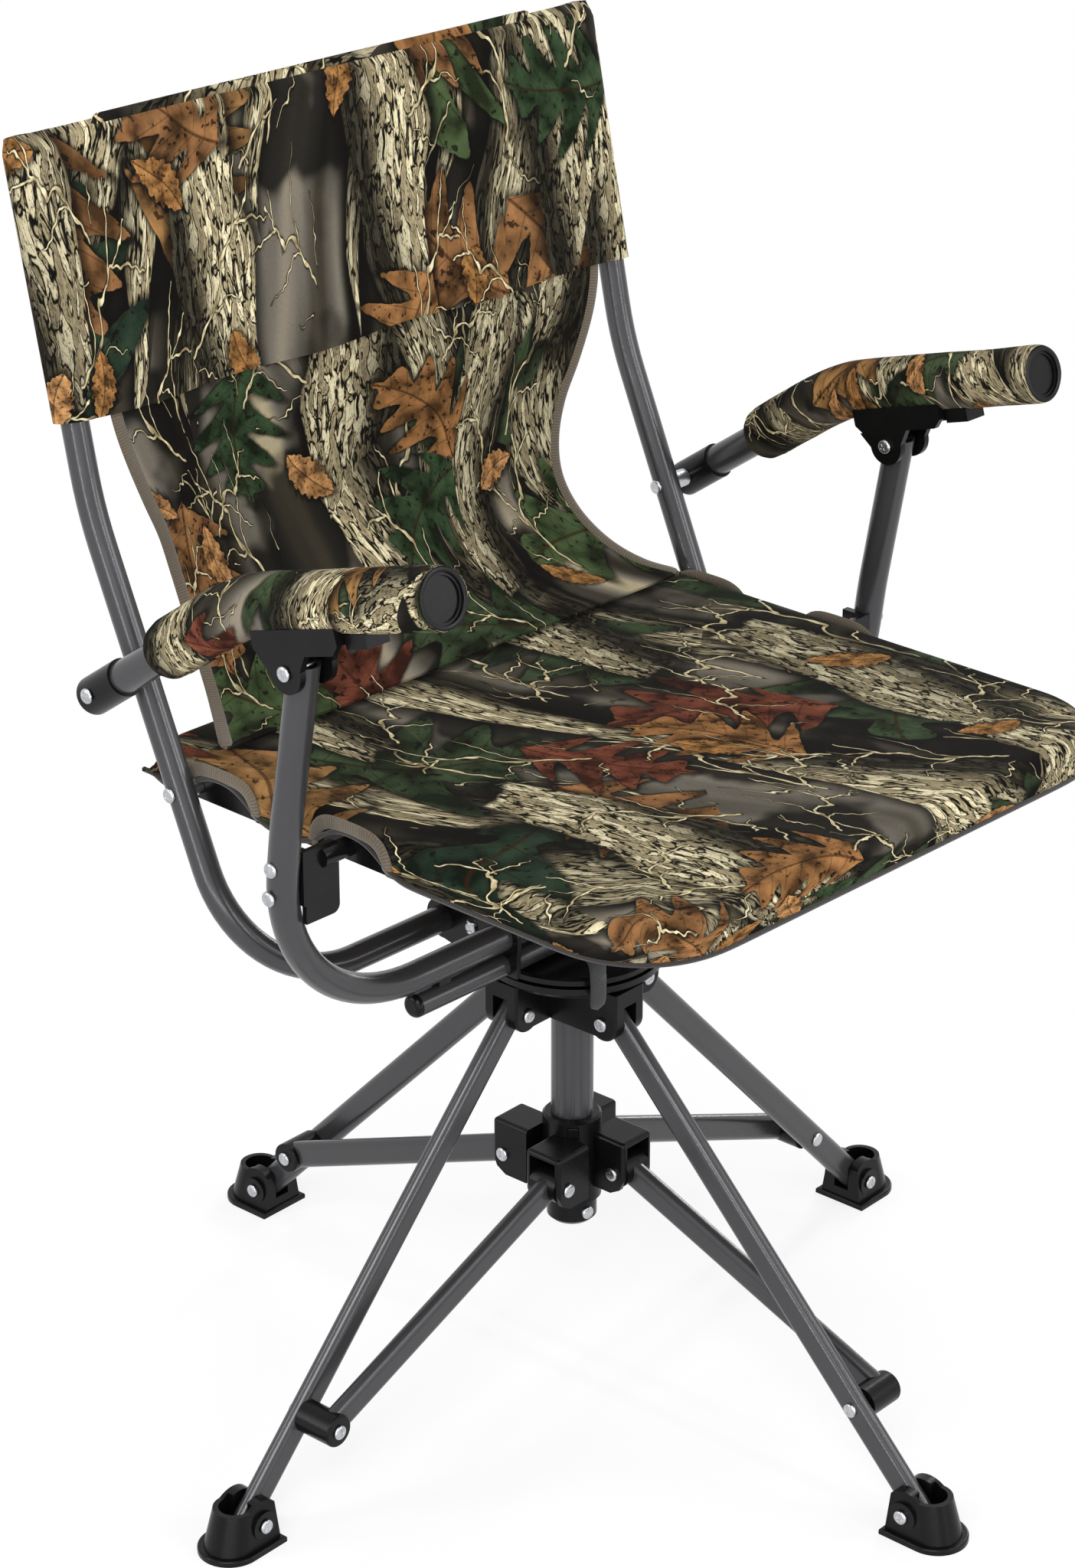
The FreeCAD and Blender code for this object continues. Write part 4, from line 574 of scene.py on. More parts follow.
def swept(name, line, across, half_wide, half_thick, sides=12, step=0.004):
    """A closed oval strip along a line, rounded off at both ends; across(share) gives its wide direction."""
    total = along_line(line)
    rows = max(8, int(total[-1] / step))
    round_rows, tip = 1.5, 0.02

    def place(s, t):
        end = max(min(t, 1 - t) * rows, 0.0)
        taper = min(1.0, tip + math.sqrt(end / round_rows))
        centre, way = point_on(line, total, t)
        wide = across(t)
        wide = (wide - way * wide.dot(way)).normalized()
        thin = way.cross(wide)
        angle = 2 * math.pi * s
        section = wide * math.cos(angle) * half_wide + thin * math.sin(angle) * half_thick
        return centre + section * taper

    return flat_cloth(name, sides, rows, place, (2 * (half_wide + half_thick), total[-1]), True)


def closed_cord(name, line, radius):
    """A round cord along a closed and nearly level line."""
    total = along_line(line)
    step = 0.004

    def place(s, t):
        centre, way = point_on(line, total, t % 1.0)
        side = way.cross(Vector((0, 0, 1))).normalized()
        up = side.cross(way)
        angle = 2 * math.pi * s
        return centre + side * math.cos(angle) * radius + up * math.sin(angle) * radius

    piece = flat_cloth(name, 8, int(total[-1] / step), place, (2 * math.pi * radius, total[-1]), True)
    outward(piece)
    return piece


def joint_place(name):
    """Where a joint of the frame stands at rest."""
    for joint in frame["joints"]:
        if joint["name"] == name:
            return Vector(joint["pos_m"])
    raise ValueError("no joint " + name)


# ------------------------------------------------------------------ seat cover

# the share of the cover's grid, along each of its edges, that becomes the skirt
SKIRT_SHARE = 0.09

# the outer parts of the depth and of the half width over which the rear corners flare
FLARE_DEPTH = 0.20
FLARE_WIDTH = 0.28

# half the length and the height of the skirt's arches, and how far outside them their tape runs
ARCH_HALF = 33 * MM
ARCH_RISE = 21 * MM
TAPE_MARGIN = 3 * MM

# how far below the cover's top a point may lie and still belong to the top
TOP_BAND = 0.5 * MM


def seat_box():
    """The two corners of the box that the seat cover fills."""
    low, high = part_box("seat_cover")
    return Vector(low), Vector(high)


def seat_outline(x, y, low, high):
    """Moves a point of the full rectangle into the rounded outline, and gives its distance to the edge."""
    middle = (low.x + high.x) / 2
    half = (high.x - low.x) / 2
    side = abs(x - middle)
    sign = 1 if x >= middle else -1
    in_front = y < (low.y + high.y) / 2
    radius = sizes().seat_front_corner if in_front else sizes().seat_rear_corner
    inner_x = half - radius
    inner_y = low.y + radius if in_front else high.y - radius
    over_x = side - inner_x
    over_y = (inner_y - y) if in_front else (y - inner_y)
    if over_x <= 0 or over_y <= 0:
        return Vector((x, y)), min(half - side, y - low.y, high.y - y)
    pull = max(over_x, over_y) / math.hypot(over_x, over_y)
    over_x, over_y = over_x * pull, over_y * pull
    y = inner_y - over_y if in_front else inner_y + over_y
    return Vector((middle + sign * (inner_x + over_x), y)), radius - math.hypot(over_x, over_y)


def arch_centres():
    """Where the skirt's two arches stand along each side: over the lock and over the pivot."""
    return {"pivot": joint_place("seat_fold").y - 26 * MM, "lock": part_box("seat_locks")[0][1] + 2 * MM}


def arch_lift(y, centre, half, rise):
    """The height of an arch at y, flatter and squarer than an ellipse."""
    share = abs(y - centre) / half
    return rise * math.sqrt(max(1 - share ** 4, 0.0))


def notch_lift(y):
    """How far the skirt's lower edge rises at y."""
    return max(arch_lift(y, centre, ARCH_HALF, ARCH_RISE) for centre in arch_centres().values())


def seat_point(s, t, low, high):
    """A point of the seat cover: the outer share of the grid is the skirt, the rest is the top."""
    size = sizes()
    roll = size.seat_roll
    ring = min(s, 1 - s, t, 1 - t) / SKIRT_SHARE
    to_rear = max(0.0, 1 - (1 - t) / FLARE_DEPTH)
    to_side = max(0.0, 1 - (1 - abs(2 * s - 1)) / FLARE_WIDTH)
    flare = to_rear ** 2 * to_side
    inner_s = min(max((s - SKIRT_SHARE) / (1 - 2 * SKIRT_SHARE), 0.0), 1.0)
    inner_t = min(max((t - SKIRT_SHARE) / (1 - 2 * SKIRT_SHARE), 0.0), 1.0)
    flat, edge = seat_outline(low.x + (high.x - low.x) * inner_s, low.y + (high.y - low.y) * inner_t,
                              low, high)
    z = high.z
    if ring < 1:
        # the skirt hangs to the lower edge, but only a quarter as far at the flared corners
        z = high.z - roll - (1 - ring) * (high.z - low.z - roll) * (1 - 0.75 * flare)
    elif edge < roll:
        z = high.z - roll + math.sqrt(max(roll ** 2 - (roll - edge) ** 2, 0.0))
    return Vector((flat.x + math.copysign(size.corner_flare * flare, flat.x), flat.y, z))


def make_seat():
    """The seat cover: sewn flat, settled between its rails, with arches cut in its skirt."""
    low, high = seat_box()
    skirt = 25 * MM

    def place(s, t):
        return seat_point(s, t, low, high)

    flat = (high.x - low.x + 2 * skirt, high.y - low.y + 2 * skirt)
    piece = flat_cloth("seat_cover_cloth", 104, 96, place, flat)
    settle(piece, low, high)
    trim_skirt(piece, low, high)
    modify(piece, "SOLIDIFY", thickness=sizes().cloth_thick, offset=-1.0)
    modify(piece, "SUBSURF", levels=1, render_levels=1)
    dress(piece, woodland("woodland_print_seat", 2.6, -15.0), "seat")
    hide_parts("seat_cover")
    trim_seat(low, high)


def settle(piece, low, high):
    """Lets the seat's middle settle under its own weight, held by its skirt and over its rails."""
    rail = 14 * MM
    frames = 24
    rest = [vertex.co.copy() for vertex in piece.data.vertices]
    held = [i for i, start in enumerate(rest)
            if start.z < high.z - TOP_BAND or seat_outline(start.x, start.y, low, high)[1] < rail]
    piece.vertex_groups.new(name="held").add(held, 1.0, "REPLACE")
    choose(piece)
    cloth = piece.modifiers.new("Cloth", "CLOTH")
    cloth.settings.vertex_group_mass = "held"
    cloth.settings.quality = 6
    cloth.settings.mass = 0.35
    cloth.settings.tension_stiffness = 14.0
    cloth.settings.compression_stiffness = 14.0
    cloth.settings.shear_stiffness = 6.0
    cloth.settings.bending_stiffness = 2.5
    cloth.settings.shrink_min = -0.006
    cloth.settings.effector_weights.gravity = 1.0
    cloth.point_cache.frame_start = 1
    cloth.point_cache.frame_end = frames
    for step in range(1, frames + 1):
        bpy.context.scene.frame_set(step)
    bpy.ops.object.modifier_apply(modifier=cloth.name)
    bpy.context.scene.frame_set(1)
    limit = sizes().seat_sag
    for vertex, start in zip(piece.data.vertices, rest):
        move = vertex.co - start
        vertex.co = start + move * (limit / (limit + move.length))
    piece.vertex_groups.clear()


def trim_skirt(piece, low, high):
    """Cuts the two arches out of each side of the skirt."""
    choose(piece)
    mesh = piece.data
    side = (high.x - low.x) / 2 - 3 * MM
    bpy.ops.object.mode_set(mode="EDIT")
    bpy.ops.mesh.select_mode(type="FACE")
    bpy.ops.mesh.select_all(action="DESELECT")
    bpy.ops.object.mode_set(mode="OBJECT")
    for face in mesh.polygons:
        centre = face.center
        face.select = abs(centre.x) > side and centre.z < low.z + notch_lift(centre.y) - TOP_BAND
    bpy.ops.object.mode_set(mode="EDIT")
    bpy.ops.mesh.delete(type="FACE")
    bpy.ops.object.mode_set(mode="OBJECT")


def seat_edge_line(low, high):
    """The seat cover's lower edge as a closed run of points, raised at the arches."""
    steps, closest, passes = 160, 0.8 * MM, 20
    shares = [k / steps for k in range(steps)]
    border = ([(0.0, 1 - k) for k in shares] + [(k, 0.0) for k in shares]
              + [(1.0, k) for k in shares] + [(1 - k, 1.0) for k in shares])
    line = []
    for s, t in border:
        point = seat_point(s, t, low, high)
        if abs(point.x) > high.x - 2 * MM:
            point.z += notch_lift(point.y)
        if not line or (point - line[-1]).length > closest:
            line.append(point)
    # the cord rounds the pointed corners that the cloth can fold into
    for _ in range(passes):
        line = [(line[i - 1] + line[i] * 2 + line[(i + 1) % len(line)]) / 4 for i in range(len(line))]
    line.append(line[0].copy())
    return line


def trim_seat(low, high):
    """Taupe tape round the skirt's arches and a dark cord round its lower edge."""
    size = sizes()
    cord = closed_cord("seat_edge_cord", seat_edge_line(low, high), size.cord_radius)
    dress(cord, tape("edge_cord_black", "#1d1712", 1.6), "seat")
    finish = tape("binding_tape_taupe", colours().binding, 2.2)
    steps, proud, raised = 40, 0.4 * MM, 1.5 * MM
    half, rise = ARCH_HALF + TAPE_MARGIN, ARCH_RISE + TAPE_MARGIN
    for word, side in (("left", -1), ("right", 1)):
        for name, centre in arch_centres().items():
            run = [centre + half * math.cos(math.pi * k / steps) for k in range(steps + 1)]
            arch = [Vector((side * (high.x + proud), y, low.z + raised + arch_lift(y, centre, half, rise)))
                    for y in run]
            total = along_line(arch)

            def across(share, arch=arch, total=total):
                _, way = point_on(arch, total, share)
                return way.cross(Vector((1, 0, 0)))

            piece = swept("arch_binding_%s_%s" % (name, word), arch, across, size.binding_half,
                          size.binding_thick * 0.8)
            dress(piece, finish, "seat")


# ------------------------------------------------------------------ back cover

# the height of the upper panel's lower edge, and the distance from the middle to each sleeve's seam
BACK_BOTTOM = 777 * MM
BACK_SEAM = 246 * MM

# the way up the straight part of the rear hoop
HOOP_WAY = Vector((0, 51.0, 239.0)).normalized()

# height, distance behind the swivel axis and half width of the lower panel, in millimetres
LOWER_PANEL = ((789, 207.5, 244), (765, 204.5, 240), (740, 203.0, 232), (710, 203.5, 219),
               (680, 205.0, 204.5), (650, 203.5, 196), (622, 196.0, 193), (596, 180.0, 197),
               (574, 157.0, 207), (560, 133.0, 221), (553, 108.0, 238))


def back_side(z):
    """The rear hoop's centre line at a height, on the side at +X, from the hoop's upper straight."""
    low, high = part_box("hoop_plugs")
    top = Vector(((abs(low[0]) + high[0]) / 2 - 10 * MM, (low[1] + high[1]) / 2, (low[2] + high[2]) / 2))
    return Vector((top.x, top.y + (z - top.z) * HOOP_WAY.y / HOOP_WAY.z, z))


def make_back():
    """The upper panel: one sheet that makes a sleeve round each tube and meets behind them."""
    size = sizes()
    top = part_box("back_cover")[1][2] - 1 * MM
    radius = size.sleeve_radius
    front = Vector((0, -HOOP_WAY.z, HOOP_WAY.y))
    half = back_side(BACK_BOTTOM).x
    # half of the sheet: from a sleeve's seam out to its tube, round the tube and in to the middle
    arc = math.pi * radius
    tail = math.hypot(half - BACK_SEAM, radius)
    width = 2 * (tail + arc + half)
    seam_depth = radius - 2.5 * MM - size.back_sag * 0.15
    mouth, squeeze = 11 * MM, 0.82

    def section(s):
        """The sheet's distance from the middle and in front of the tubes' centres."""
        run = s * width
        mirror = 1
        if run > width / 2:
            run = width - run
            mirror = -1
        if run < tail:
            share = run / tail
            x = BACK_SEAM + (half - BACK_SEAM) * share
            n = seam_depth * (1 - share) - radius * share
        elif run < tail + arc:
            angle = (run - tail) / radius
            x = half + math.sin(angle) * radius
            n = -math.cos(angle) * radius
        else:
            x = half - (run - tail - arc)
            n = radius
        return x * mirror, n

    def place(s, t):
        z = BACK_BOTTOM + (top - BACK_BOTTOM) * t
        x, n = section(s)
        share = max(0.0, 1 - abs(x) / half)
        if n >= radius - 1e-9:
            slack = math.sin(math.pi * min(share, 1.0) / 2) ** 1.2
            n -= size.back_sag * slack * (0.45 + 0.55 * math.sin(math.pi * t))
            n += 1.6 * MM * noise.noise(Vector((x * 14, z * 9, 3.7))) * min(1.0, share * 8)
        # the sleeves are sewn flat above the tubes' ends
        close = max(0.0, (z - (top - mouth)) / mouth)
        flat = squeeze * close ** 1.5
        if abs(x) > BACK_SEAM:
            n = n * (1 - flat)
        else:
            n = n - (radius - 3 * MM) * flat * close
        wave = 1.6 * MM * math.sin(x * 37.0) * (1 - t)
        return Vector((x, back_side(z).y, z + wave)) + front * n

    piece = flat_cloth("back_upper_cloth", 190, 52, place, (width, top - BACK_BOTTOM))
    modify(piece, "SOLIDIFY", thickness=size.cloth_thick * 0.7, offset=-1.0)
    dress(piece, woodland("woodland_print_back", 0.37, -14.0), "back")
    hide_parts("back_cover")
    make_upper_hem(place)
    make_lower_panel()


def make_upper_hem(place):
    """A folded hem along the top edge of the back, standing a little proud of the sheet."""
    steps, near_top, inset = 80, 0.985, 0.18
    half_wide, half_thick = 7.5 * MM, sizes().cloth_thick * 0.75
    line = [place(inset + (1 - 2 * inset) * k / steps, near_top) for k in range(steps + 1)]
    piece = swept("back_top_hem", line, lambda share: Vector((0, 0.2, 1)), half_wide, half_thick)
    dress(piece, woodland("woodland_print_hem", 0.9, -14.0), "back")


def lower_panel_place():
    """The lower panel's place function: s across, t from its foot on the seat to its top seam."""
    size = sizes()
    line = smooth_line([Vector((half, y, z)) * MM for z, y, half in LOWER_PANEL], 12)
    side = [Vector((0, p.y, p.z)) for p in line]
    total = along_line(side)

    def place(s, t):
        down = 1 - t
        point, _ = point_on(side, total, down)
        want = down * total[-1]
        index = min(range(len(total)), key=lambda i: abs(total[i] - want))
        a, b = max(index - 1, 0), min(index + 1, len(total) - 1)
        share = min(max((want - total[a]) / max(total[b] - total[a], 1e-9), 0.0), 1.0)
        half = line[a].x + (line[b].x - line[a].x) * share
        way = (side[b] - side[a]).normalized()
        back = Vector((0, -way.z, way.y))
        u = 2 * s - 1
        sag = size.back_sag * (1 - u * u) * math.sin(math.pi * min(0.19 + 0.86 * down, 1.0))
        ripple = 1.8 * MM * noise.noise(Vector((u * 3.1, down * 5.0, 8.0))) * (1 - u ** 4)
        return Vector((u * half, point.y, point.z)) + back * (sag + ripple)

    return place


def make_lower_panel():
    """The waisted lower panel from the back to the seat, with tape along both its sides."""
    size = sizes()
    place = lower_panel_place()
    steps, inset = 120, 0.002
    run = along_line([place(0.0, k / steps) for k in range(steps + 1)])[-1]
    # the cut sheet at its widest, its usual width, and the share of that area its waist leaves
    widest, usual, waisted = 0.48, 0.44, 0.95
    piece = flat_cloth("back_lower_cloth", 72, 64, place, (usual, run))
    modify(piece, "SOLIDIFY", thickness=size.cloth_thick, offset=0.0)
    dress(piece, woodland("woodland_print_lower_back", 1.45, -8.0), None)
    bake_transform(piece)
    finish = tape("binding_tape_back", colours().binding, 2.2)
    for side, s in (("left", 0.0), ("right", 1.0)):
        line = [place(s, inset + (1 - 2 * inset) * k / steps) for k in range(steps + 1)]

        def across(share, s=s):
            t = min(max(share, 0.01), 0.99)
            return place(s, t) - place(abs(s - 0.05), t)

        strip = swept("back_binding_" + side, line, across, size.binding_half, size.binding_thick,
                      step=0.0035)
        dress(strip, finish, None)
        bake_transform(strip)


# ------------------------------------------------------------------ arms and strap

# the arms' tube inside the padding, and the open mouth that takes the front cap
PAD_BORE = 12.4 * MM
PAD_MOUTH = 20.4 * MM


def arm_line(side):
    """The padded part of an arm: its rear run, gentle bend and front run."""
    pivot = joint_place("arm_right_fold")
    bend = Vector((pivot.x, 0.008, 0.708))
    front = Vector((pivot.x, -0.1755, 0.7612))
    bare, reach = 80 * MM, 26 * MM
    rear_way = (bend - pivot).normalized()
    front_way = (front - bend).normalized()
    start = pivot + rear_way * bare
    points = [start, start.lerp(bend, 0.45), bend - rear_way * reach,
              bend + (front_way - rear_way) * reach * 0.25,
              bend + front_way * reach, bend.lerp(front, 0.55), front]
    return [Vector((side * p.x, p.y, p.z)) for p in smooth_line(points, 14)]


def pad_profile(whole):
    """The pad's section as (run, radius) steps: over the padding, in at the mouth, back along the tube."""
    radius = sizes().arm_pad_radius
    count, mouth_deep = 60, 9 * MM
    rear = [(0.0, PAD_BORE), (-0.4 * MM, 15 * MM), (1 * MM, 17.8 * MM), (5 * MM, 20 * MM),
            (12 * MM, radius - 0.4 * MM)]
    skin = [(14 * MM + (whole - 19 * MM) * k / count, radius) for k in range(count + 1)]
    front = [(whole - 2.5 * MM, radius - 0.1 * MM), (whole - 0.6 * MM, radius - 0.4 * MM),
             (whole, radius - 0.8 * MM), (whole - 0.6 * MM, PAD_MOUTH + 0.1 * MM),
             (whole - 2 * MM, PAD_MOUTH), (whole - mouth_deep, PAD_MOUTH), (whole - mouth_deep, PAD_BORE)]
    bore = [(whole * share, PAD_BORE) for share in (0.75, 0.5, 0.25, 0.0)]
    return rear + skin + front + bore


def pad_relief(angle, run, side):
    """How far the pad's skin stands off its round section: soft dents, a sewn seam and a flat underneath."""
    dent = noise.noise(Vector((math.cos(angle) * 1.4, math.sin(angle) * 1.4, run * 26 + side)))
    under = min(abs(angle + math.pi / 2), abs(angle - 1.5 * math.pi))
    seam = math.exp(-(under / 0.06) ** 2)
    # the foam is pressed flat where the saddle cradles it
    cradle = min(max((1.5 - under) / 0.55, 0.0), 1.0)
    cradle = cradle * cradle * (3 - 2 * cradle)
    return (0.7 * min(dent, 0.2) - 1.9 * seam - 0.7 * cradle) * MM


def make_arm_pads():
    """The padded cloth sleeve on each arm."""
    padded = PAD_MOUTH + 0.2 * MM
    for word, side, shift, turn in (("left", -1, 3.1, 28.0), ("right", 1, 5.6, 52.0)):
        line = arm_line(side)
        total = along_line(line)
        steps = pad_profile(total[-1])

        def place(s, t, line=line, total=total, steps=steps, side=side):
            run, radius = steps[int(t * (len(steps) - 1) + 0.5)]
            centre, way = point_on(line, total, run / total[-1])
            out = Vector((side, 0, 0))
            up = out.cross(way) if side < 0 else way.cross(out)
            angle = 2 * math.pi * s - math.pi / 2
            if radius > padded:
                radius += pad_relief(angle, run, side)
            return centre + out * math.cos(angle) * radius + up * math.sin(angle) * radius

        flat = (2 * math.pi * sizes().arm_pad_radius, total[-1] * 2)
        piece = flat_cloth("arm_pad_" + word, 56, len(steps) - 1, place, flat, True)
        outward(piece)
        dress(piece, woodland("woodland_print_arm_" + word, shift, turn), "arm_" + word)
        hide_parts("arm_sleeve_" + word)


def make_cap_lips():
    """The moulded lip round each arm's front cap, a rounded ring that fills the pad's mouth."""
    inner, outer, deep, proud = 16.8 * MM, PAD_MOUTH - 0.1 * MM, 7 * MM, 0.4 * MM
    for word, side in (("left", -1), ("right", 1)):
        line = arm_line(side)
        way = (line[-1] - line[-2]).normalized()
        out = Vector((side, 0, 0))
        up = way.cross(out)

        def place(s, t, line=line, way=way, out=out, up=up):
            # s runs round the lip's rounded section, t round the arm
            angle, turn = 2 * math.pi * s, 2 * math.pi * t
            across, along = math.cos(angle), math.sin(angle)
            square = 1 / max(abs(across), abs(along)) ** 0.7
            radius = (inner + outer) / 2 + across * square * (outer - inner) / 2
            run = proud - deep / 2 + along * square * deep / 2
            radius = min(max(radius, inner), outer)
            run = min(max(run, proud - deep), proud)
            return line[-1] + way * run + (out * math.cos(turn) + up * math.sin(turn)) * radius

        lip = flat_cloth("arm_cap_lip_" + word, 16, 64, place, (0.02, 0.12), True)
        outward(lip)
        dress(lip, bpy.data.materials["moulded_black_nylon"], "arm_" + word)


def make_strap():
    """The webbing tail that leaves the swivel, crosses the front tube and hangs down."""
    low, high = (Vector(corner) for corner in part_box("strap"))
    x = (low.x + high.x) / 2
    half_thick = 1.1 * MM
    points = [(x, high.y - 3 * MM, high.z - 10 * MM), (x, -4 * MM, high.z + 0.4 * MM),
              (x, -18 * MM, high.z - 6 * MM), (x, low.y * 0.72, high.z - 16 * MM),
              (x, low.y * 0.95, high.z - 26 * MM), (x, low.y + 1 * MM, high.z - 40 * MM),
              (x + 1 * MM, low.y + 1.6 * MM, (low.z + high.z) / 2 - 8 * MM),
              (x, low.y + 1 * MM, low.z + 1 * MM)]
    piece = swept("strap_webbing", smooth_line(points, 10), lambda share: Vector((1, 0, 0)),
                  sizes().strap_width / 2, half_thick, 16, 0.003)
    outward(piece)
    dress(piece, tape("webbing_black", colours().webbing, 1.8), "carrier")
    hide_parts("strap")


# ------------------------------------------------------------------ screw heads

# nodes of plain screws and the body each rides on
SCREWED = {"crown_pins": "base", "runner_pins": "runner", "carrier_screws": "carrier", "arm_pivots": "back",
           "seat_pivots": "back"}
for number in (1, 2, 3, 4):
    SCREWED["leg_bolts_%d" % number] = "leg_%d" % number
    SCREWED["strut_bolt_%d" % number] = "strut_%d" % number

# a screw is at least this long, its modelled head is between these widths, and the new one sits this deep
SCREW_LENGTH = 8 * MM
HEAD_WIDTH = (9 * MM, 13.2 * MM)
HEAD_SUNK = 2.6 * MM


def pan_head(name, radius):
    """A pan head with a cross recess, made once: its seat at the origin, facing +Z."""
    deselect()
    tall = radius * 0.56
    bpy.ops.mesh.primitive_cylinder_add(vertices=28, radius=radius, depth=tall, location=(0, 0, tall / 2))
    head = bpy.context.object
    head.name = name
    bpy.ops.object.transform_apply(location=True, rotation=True, scale=True)
    modify(head, "BEVEL", width=radius * 0.26, segments=3, limit_method="ANGLE", angle_limit=math.radians(60))
    for turn in (0, 90):
        deselect()
        bpy.ops.mesh.primitive_cube_add(size=1.0, location=(0, 0, tall))
        slot = bpy.context.object
        slot.scale = (radius * 1.05, radius * 0.24, radius * 0.55)
        slot.rotation_euler = (0, 0, math.radians(turn))
        bpy.ops.object.transform_apply(location=True, rotation=True, scale=True)
        modify(head, "BOOLEAN", operation="DIFFERENCE", object=slot, solver="EXACT")
        bpy.data.objects.remove(slot)
    return head


def loose_solids(node):
    """The separate solids of a CAD node, each as its list of points."""
    mesh = frame["nodes"][node].data
    keys = {}
    parent = []

    def root(i):
        while parent[i] != i:
            parent[i] = parent[parent[i]]
            i = parent[i]
        return i

    index = []
    for vertex in mesh.vertices:
        key = tuple(round(c, 5) for c in vertex.co)
        if key not in keys:
            keys[key] = len(parent)
            parent.append(len(parent))
        index.append(keys[key])
    for face in mesh.polygons:
        first = root(index[face.vertices[0]])
        for v in face.vertices[1:]:
            parent[root(index[v])] = first
    groups = {}
    for key, i in keys.items():
        groups.setdefault(root(i), []).append(Vector(key))
    return list(groups.values())


def screw_ends(node):
    """Where each screw of a node shows: the middle of a head's outer face and the way it faces."""
    near_face = 0.9 * MM
    ends = []
    for points in loose_solids(node):
        low = [min(p[i] for p in points) for i in range(3)]
        high = [max(p[i] for p in points) for i in range(3)]
        span = [b - a for a, b in zip(low, high)]
        _, middle, long = sorted(range(3), key=lambda i: span[i])
        if span[long] < SCREW_LENGTH or not HEAD_WIDTH[0] < span[middle] < HEAD_WIDTH[1]:
            continue
        faces = []
        for level in (low[long], high[long]):
            near = [p for p in points if abs(p[long] - level) < near_face]
            faces.append(sum(near, Vector()) / len(near))
        way = (faces[1] - faces[0]).normalized()
        ends += [(faces[0], -way), (faces[1], way)]
    return ends


def make_screws():
    """A cross-recess head over each plain screw end of the frame, each at its own turn."""
    zinc = bpy.data.materials["bright_zinc_plate"]
    head = pan_head("screw_head_master", sizes().screw_head)
    draw = random.Random(5)
    for node, body in SCREWED.items():
        copies = []
        for point, way in screw_ends(node):
            copy = head.copy()
            copy.data = head.data.copy()
            bpy.context.collection.objects.link(copy)
            turn = Matrix.Rotation(draw.uniform(0, math.pi), 4, "Z")
            lie = way.to_track_quat("Z", "Y").to_matrix().to_4x4()
            copy.data.transform(Matrix.Translation(point - way * HEAD_SUNK) @ lie @ turn)
            copies.append(copy)
        if not copies:
            continue
        choose(copies[0])
        for copy in copies[1:]:
            copy.select_set(True)
        if len(copies) > 1:
            bpy.ops.object.join()
        piece = bpy.context.object
        piece.name = "heads_" + node
        dress(piece, zinc, body, 35.0)
    bpy.data.objects.remove(head)


# ------------------------------------------------------------------ finishes and stage

# each lamp's name, place, width, height and power in watts
LAMPS = (("key", (-2.2, -1.6, 2.6), 1.0, 1.6, 50.0),
         ("fill", (1.6, -2.6, 1.7), 0.8, 1.6, 24.0),
         ("rim_left", (-2.4, 1.4, 1.5), 0.2, 2.2, 24.0),
         ("rim_right", (2.5, 0.6, 1.6), 0.2, 2.2, 24.0),
         ("strip_left", (-3.0, -0.9, 1.3), 0.09, 2.6, 26.0),
         ("strip_right", (0.2, -3.1, 1.3), 0.09, 2.6, 26.0),
         ("strip_low", (-2.3, -2.2, 0.14), 2.4, 0.10, 18.0),
         ("top", (0.3, 0.2, 3.2), 1.2, 1.2, 18.0))
LAMP_AIM = Vector((0, 0, 0.5))

CAMERA_PLACE = (-1.9342, -1.7919, 1.6517)
CAMERA_TURN = (66.1, 0.0, -46.62)


def make_finishes():
    """Paints every frame node by the finish that its slot names."""
    paints = {"grey_powder_coat": tube_paint(), "moulded_black_plastic": black_plastic(),
              "zinc_screw": zinc_plate(), "black_enamel_steel": black_enamel()}
    slots = {item["node"]: item["material_slot"] for item in frame["record"]["subparts"]}
    for node, piece in frame["nodes"].items():
        paint = paints.get(slots[node])
        if paint is None:
            continue
        piece.data.materials.clear()
        piece.data.materials.append(paint)


def seen_directly(tree):
    """1 where the camera, a mirror or clear glass looks, and 0 for light that falls on the chair."""
    rays = add(tree, "LightPath").node.outputs
    mirror = add(tree, "Math.MAXIMUM", (rays["Is Glossy Ray"], rays["Is Transmission Ray"]))
    return add(tree, "Math.MAXIMUM", (rays["Is Camera Ray"], mirror))


def make_floor():
    """White paper sweep: it takes the chair's shadow near the feet and shows plain white further out."""
    deselect()
    bpy.ops.mesh.primitive_plane_add(size=24.0, location=(0, 0, 0))
    floor = bpy.context.object
    floor.name = "floor"
    material, tree, surface = shader("white_paper_sweep", Roughness=0.9, Specular_IOR_Level=0.0)
    surface.inputs["Base Color"].default_value = (0.92, 0.92, 0.92, 1.0)
    place = add(tree, "TexCoord", out="Object")
    reach = add(tree, "VectorMath.LENGTH", (place,), "Value")
    # the shadow stays in full to 0.35 m from the middle and fades out by 0.75 m
    share = add(tree, "MapRange", {"Value": reach, "From Min": 0.35, "From Max": 0.75, "To Min": 0.72},
                interpolation_type="SMOOTHSTEP")
    share = add(tree, "Math.MULTIPLY", (seen_directly(tree), share))
    plain = add(tree, "Emission", {"Color": (1, 1, 1, 1), "Strength": 1.0})
    mix = add(tree, "MixShader", (share, surface.outputs[0], plain))
    tree.links.new(mix, tree.nodes["Material Output"].inputs["Surface"])
    floor.data.materials.append(material)


def make_world():
    """A white studio that shows plain white and lights the chair at half its strength."""
    world = bpy.data.worlds.new("studio")
    bpy.context.scene.world = world
    world.use_nodes = True
    tree = world.node_tree
    tree.nodes.remove(tree.nodes["Background"])
    dim = add(tree, "Background", {"Color": (1, 1, 1, 1), "Strength": 0.5})
    white = add(tree, "Background", {"Color": (1, 1, 1, 1), "Strength": 1.0})
    mix = add(tree, "MixShader", (seen_directly(tree), dim, white))
    tree.links.new(mix, tree.nodes["World Output"].inputs["Surface"])


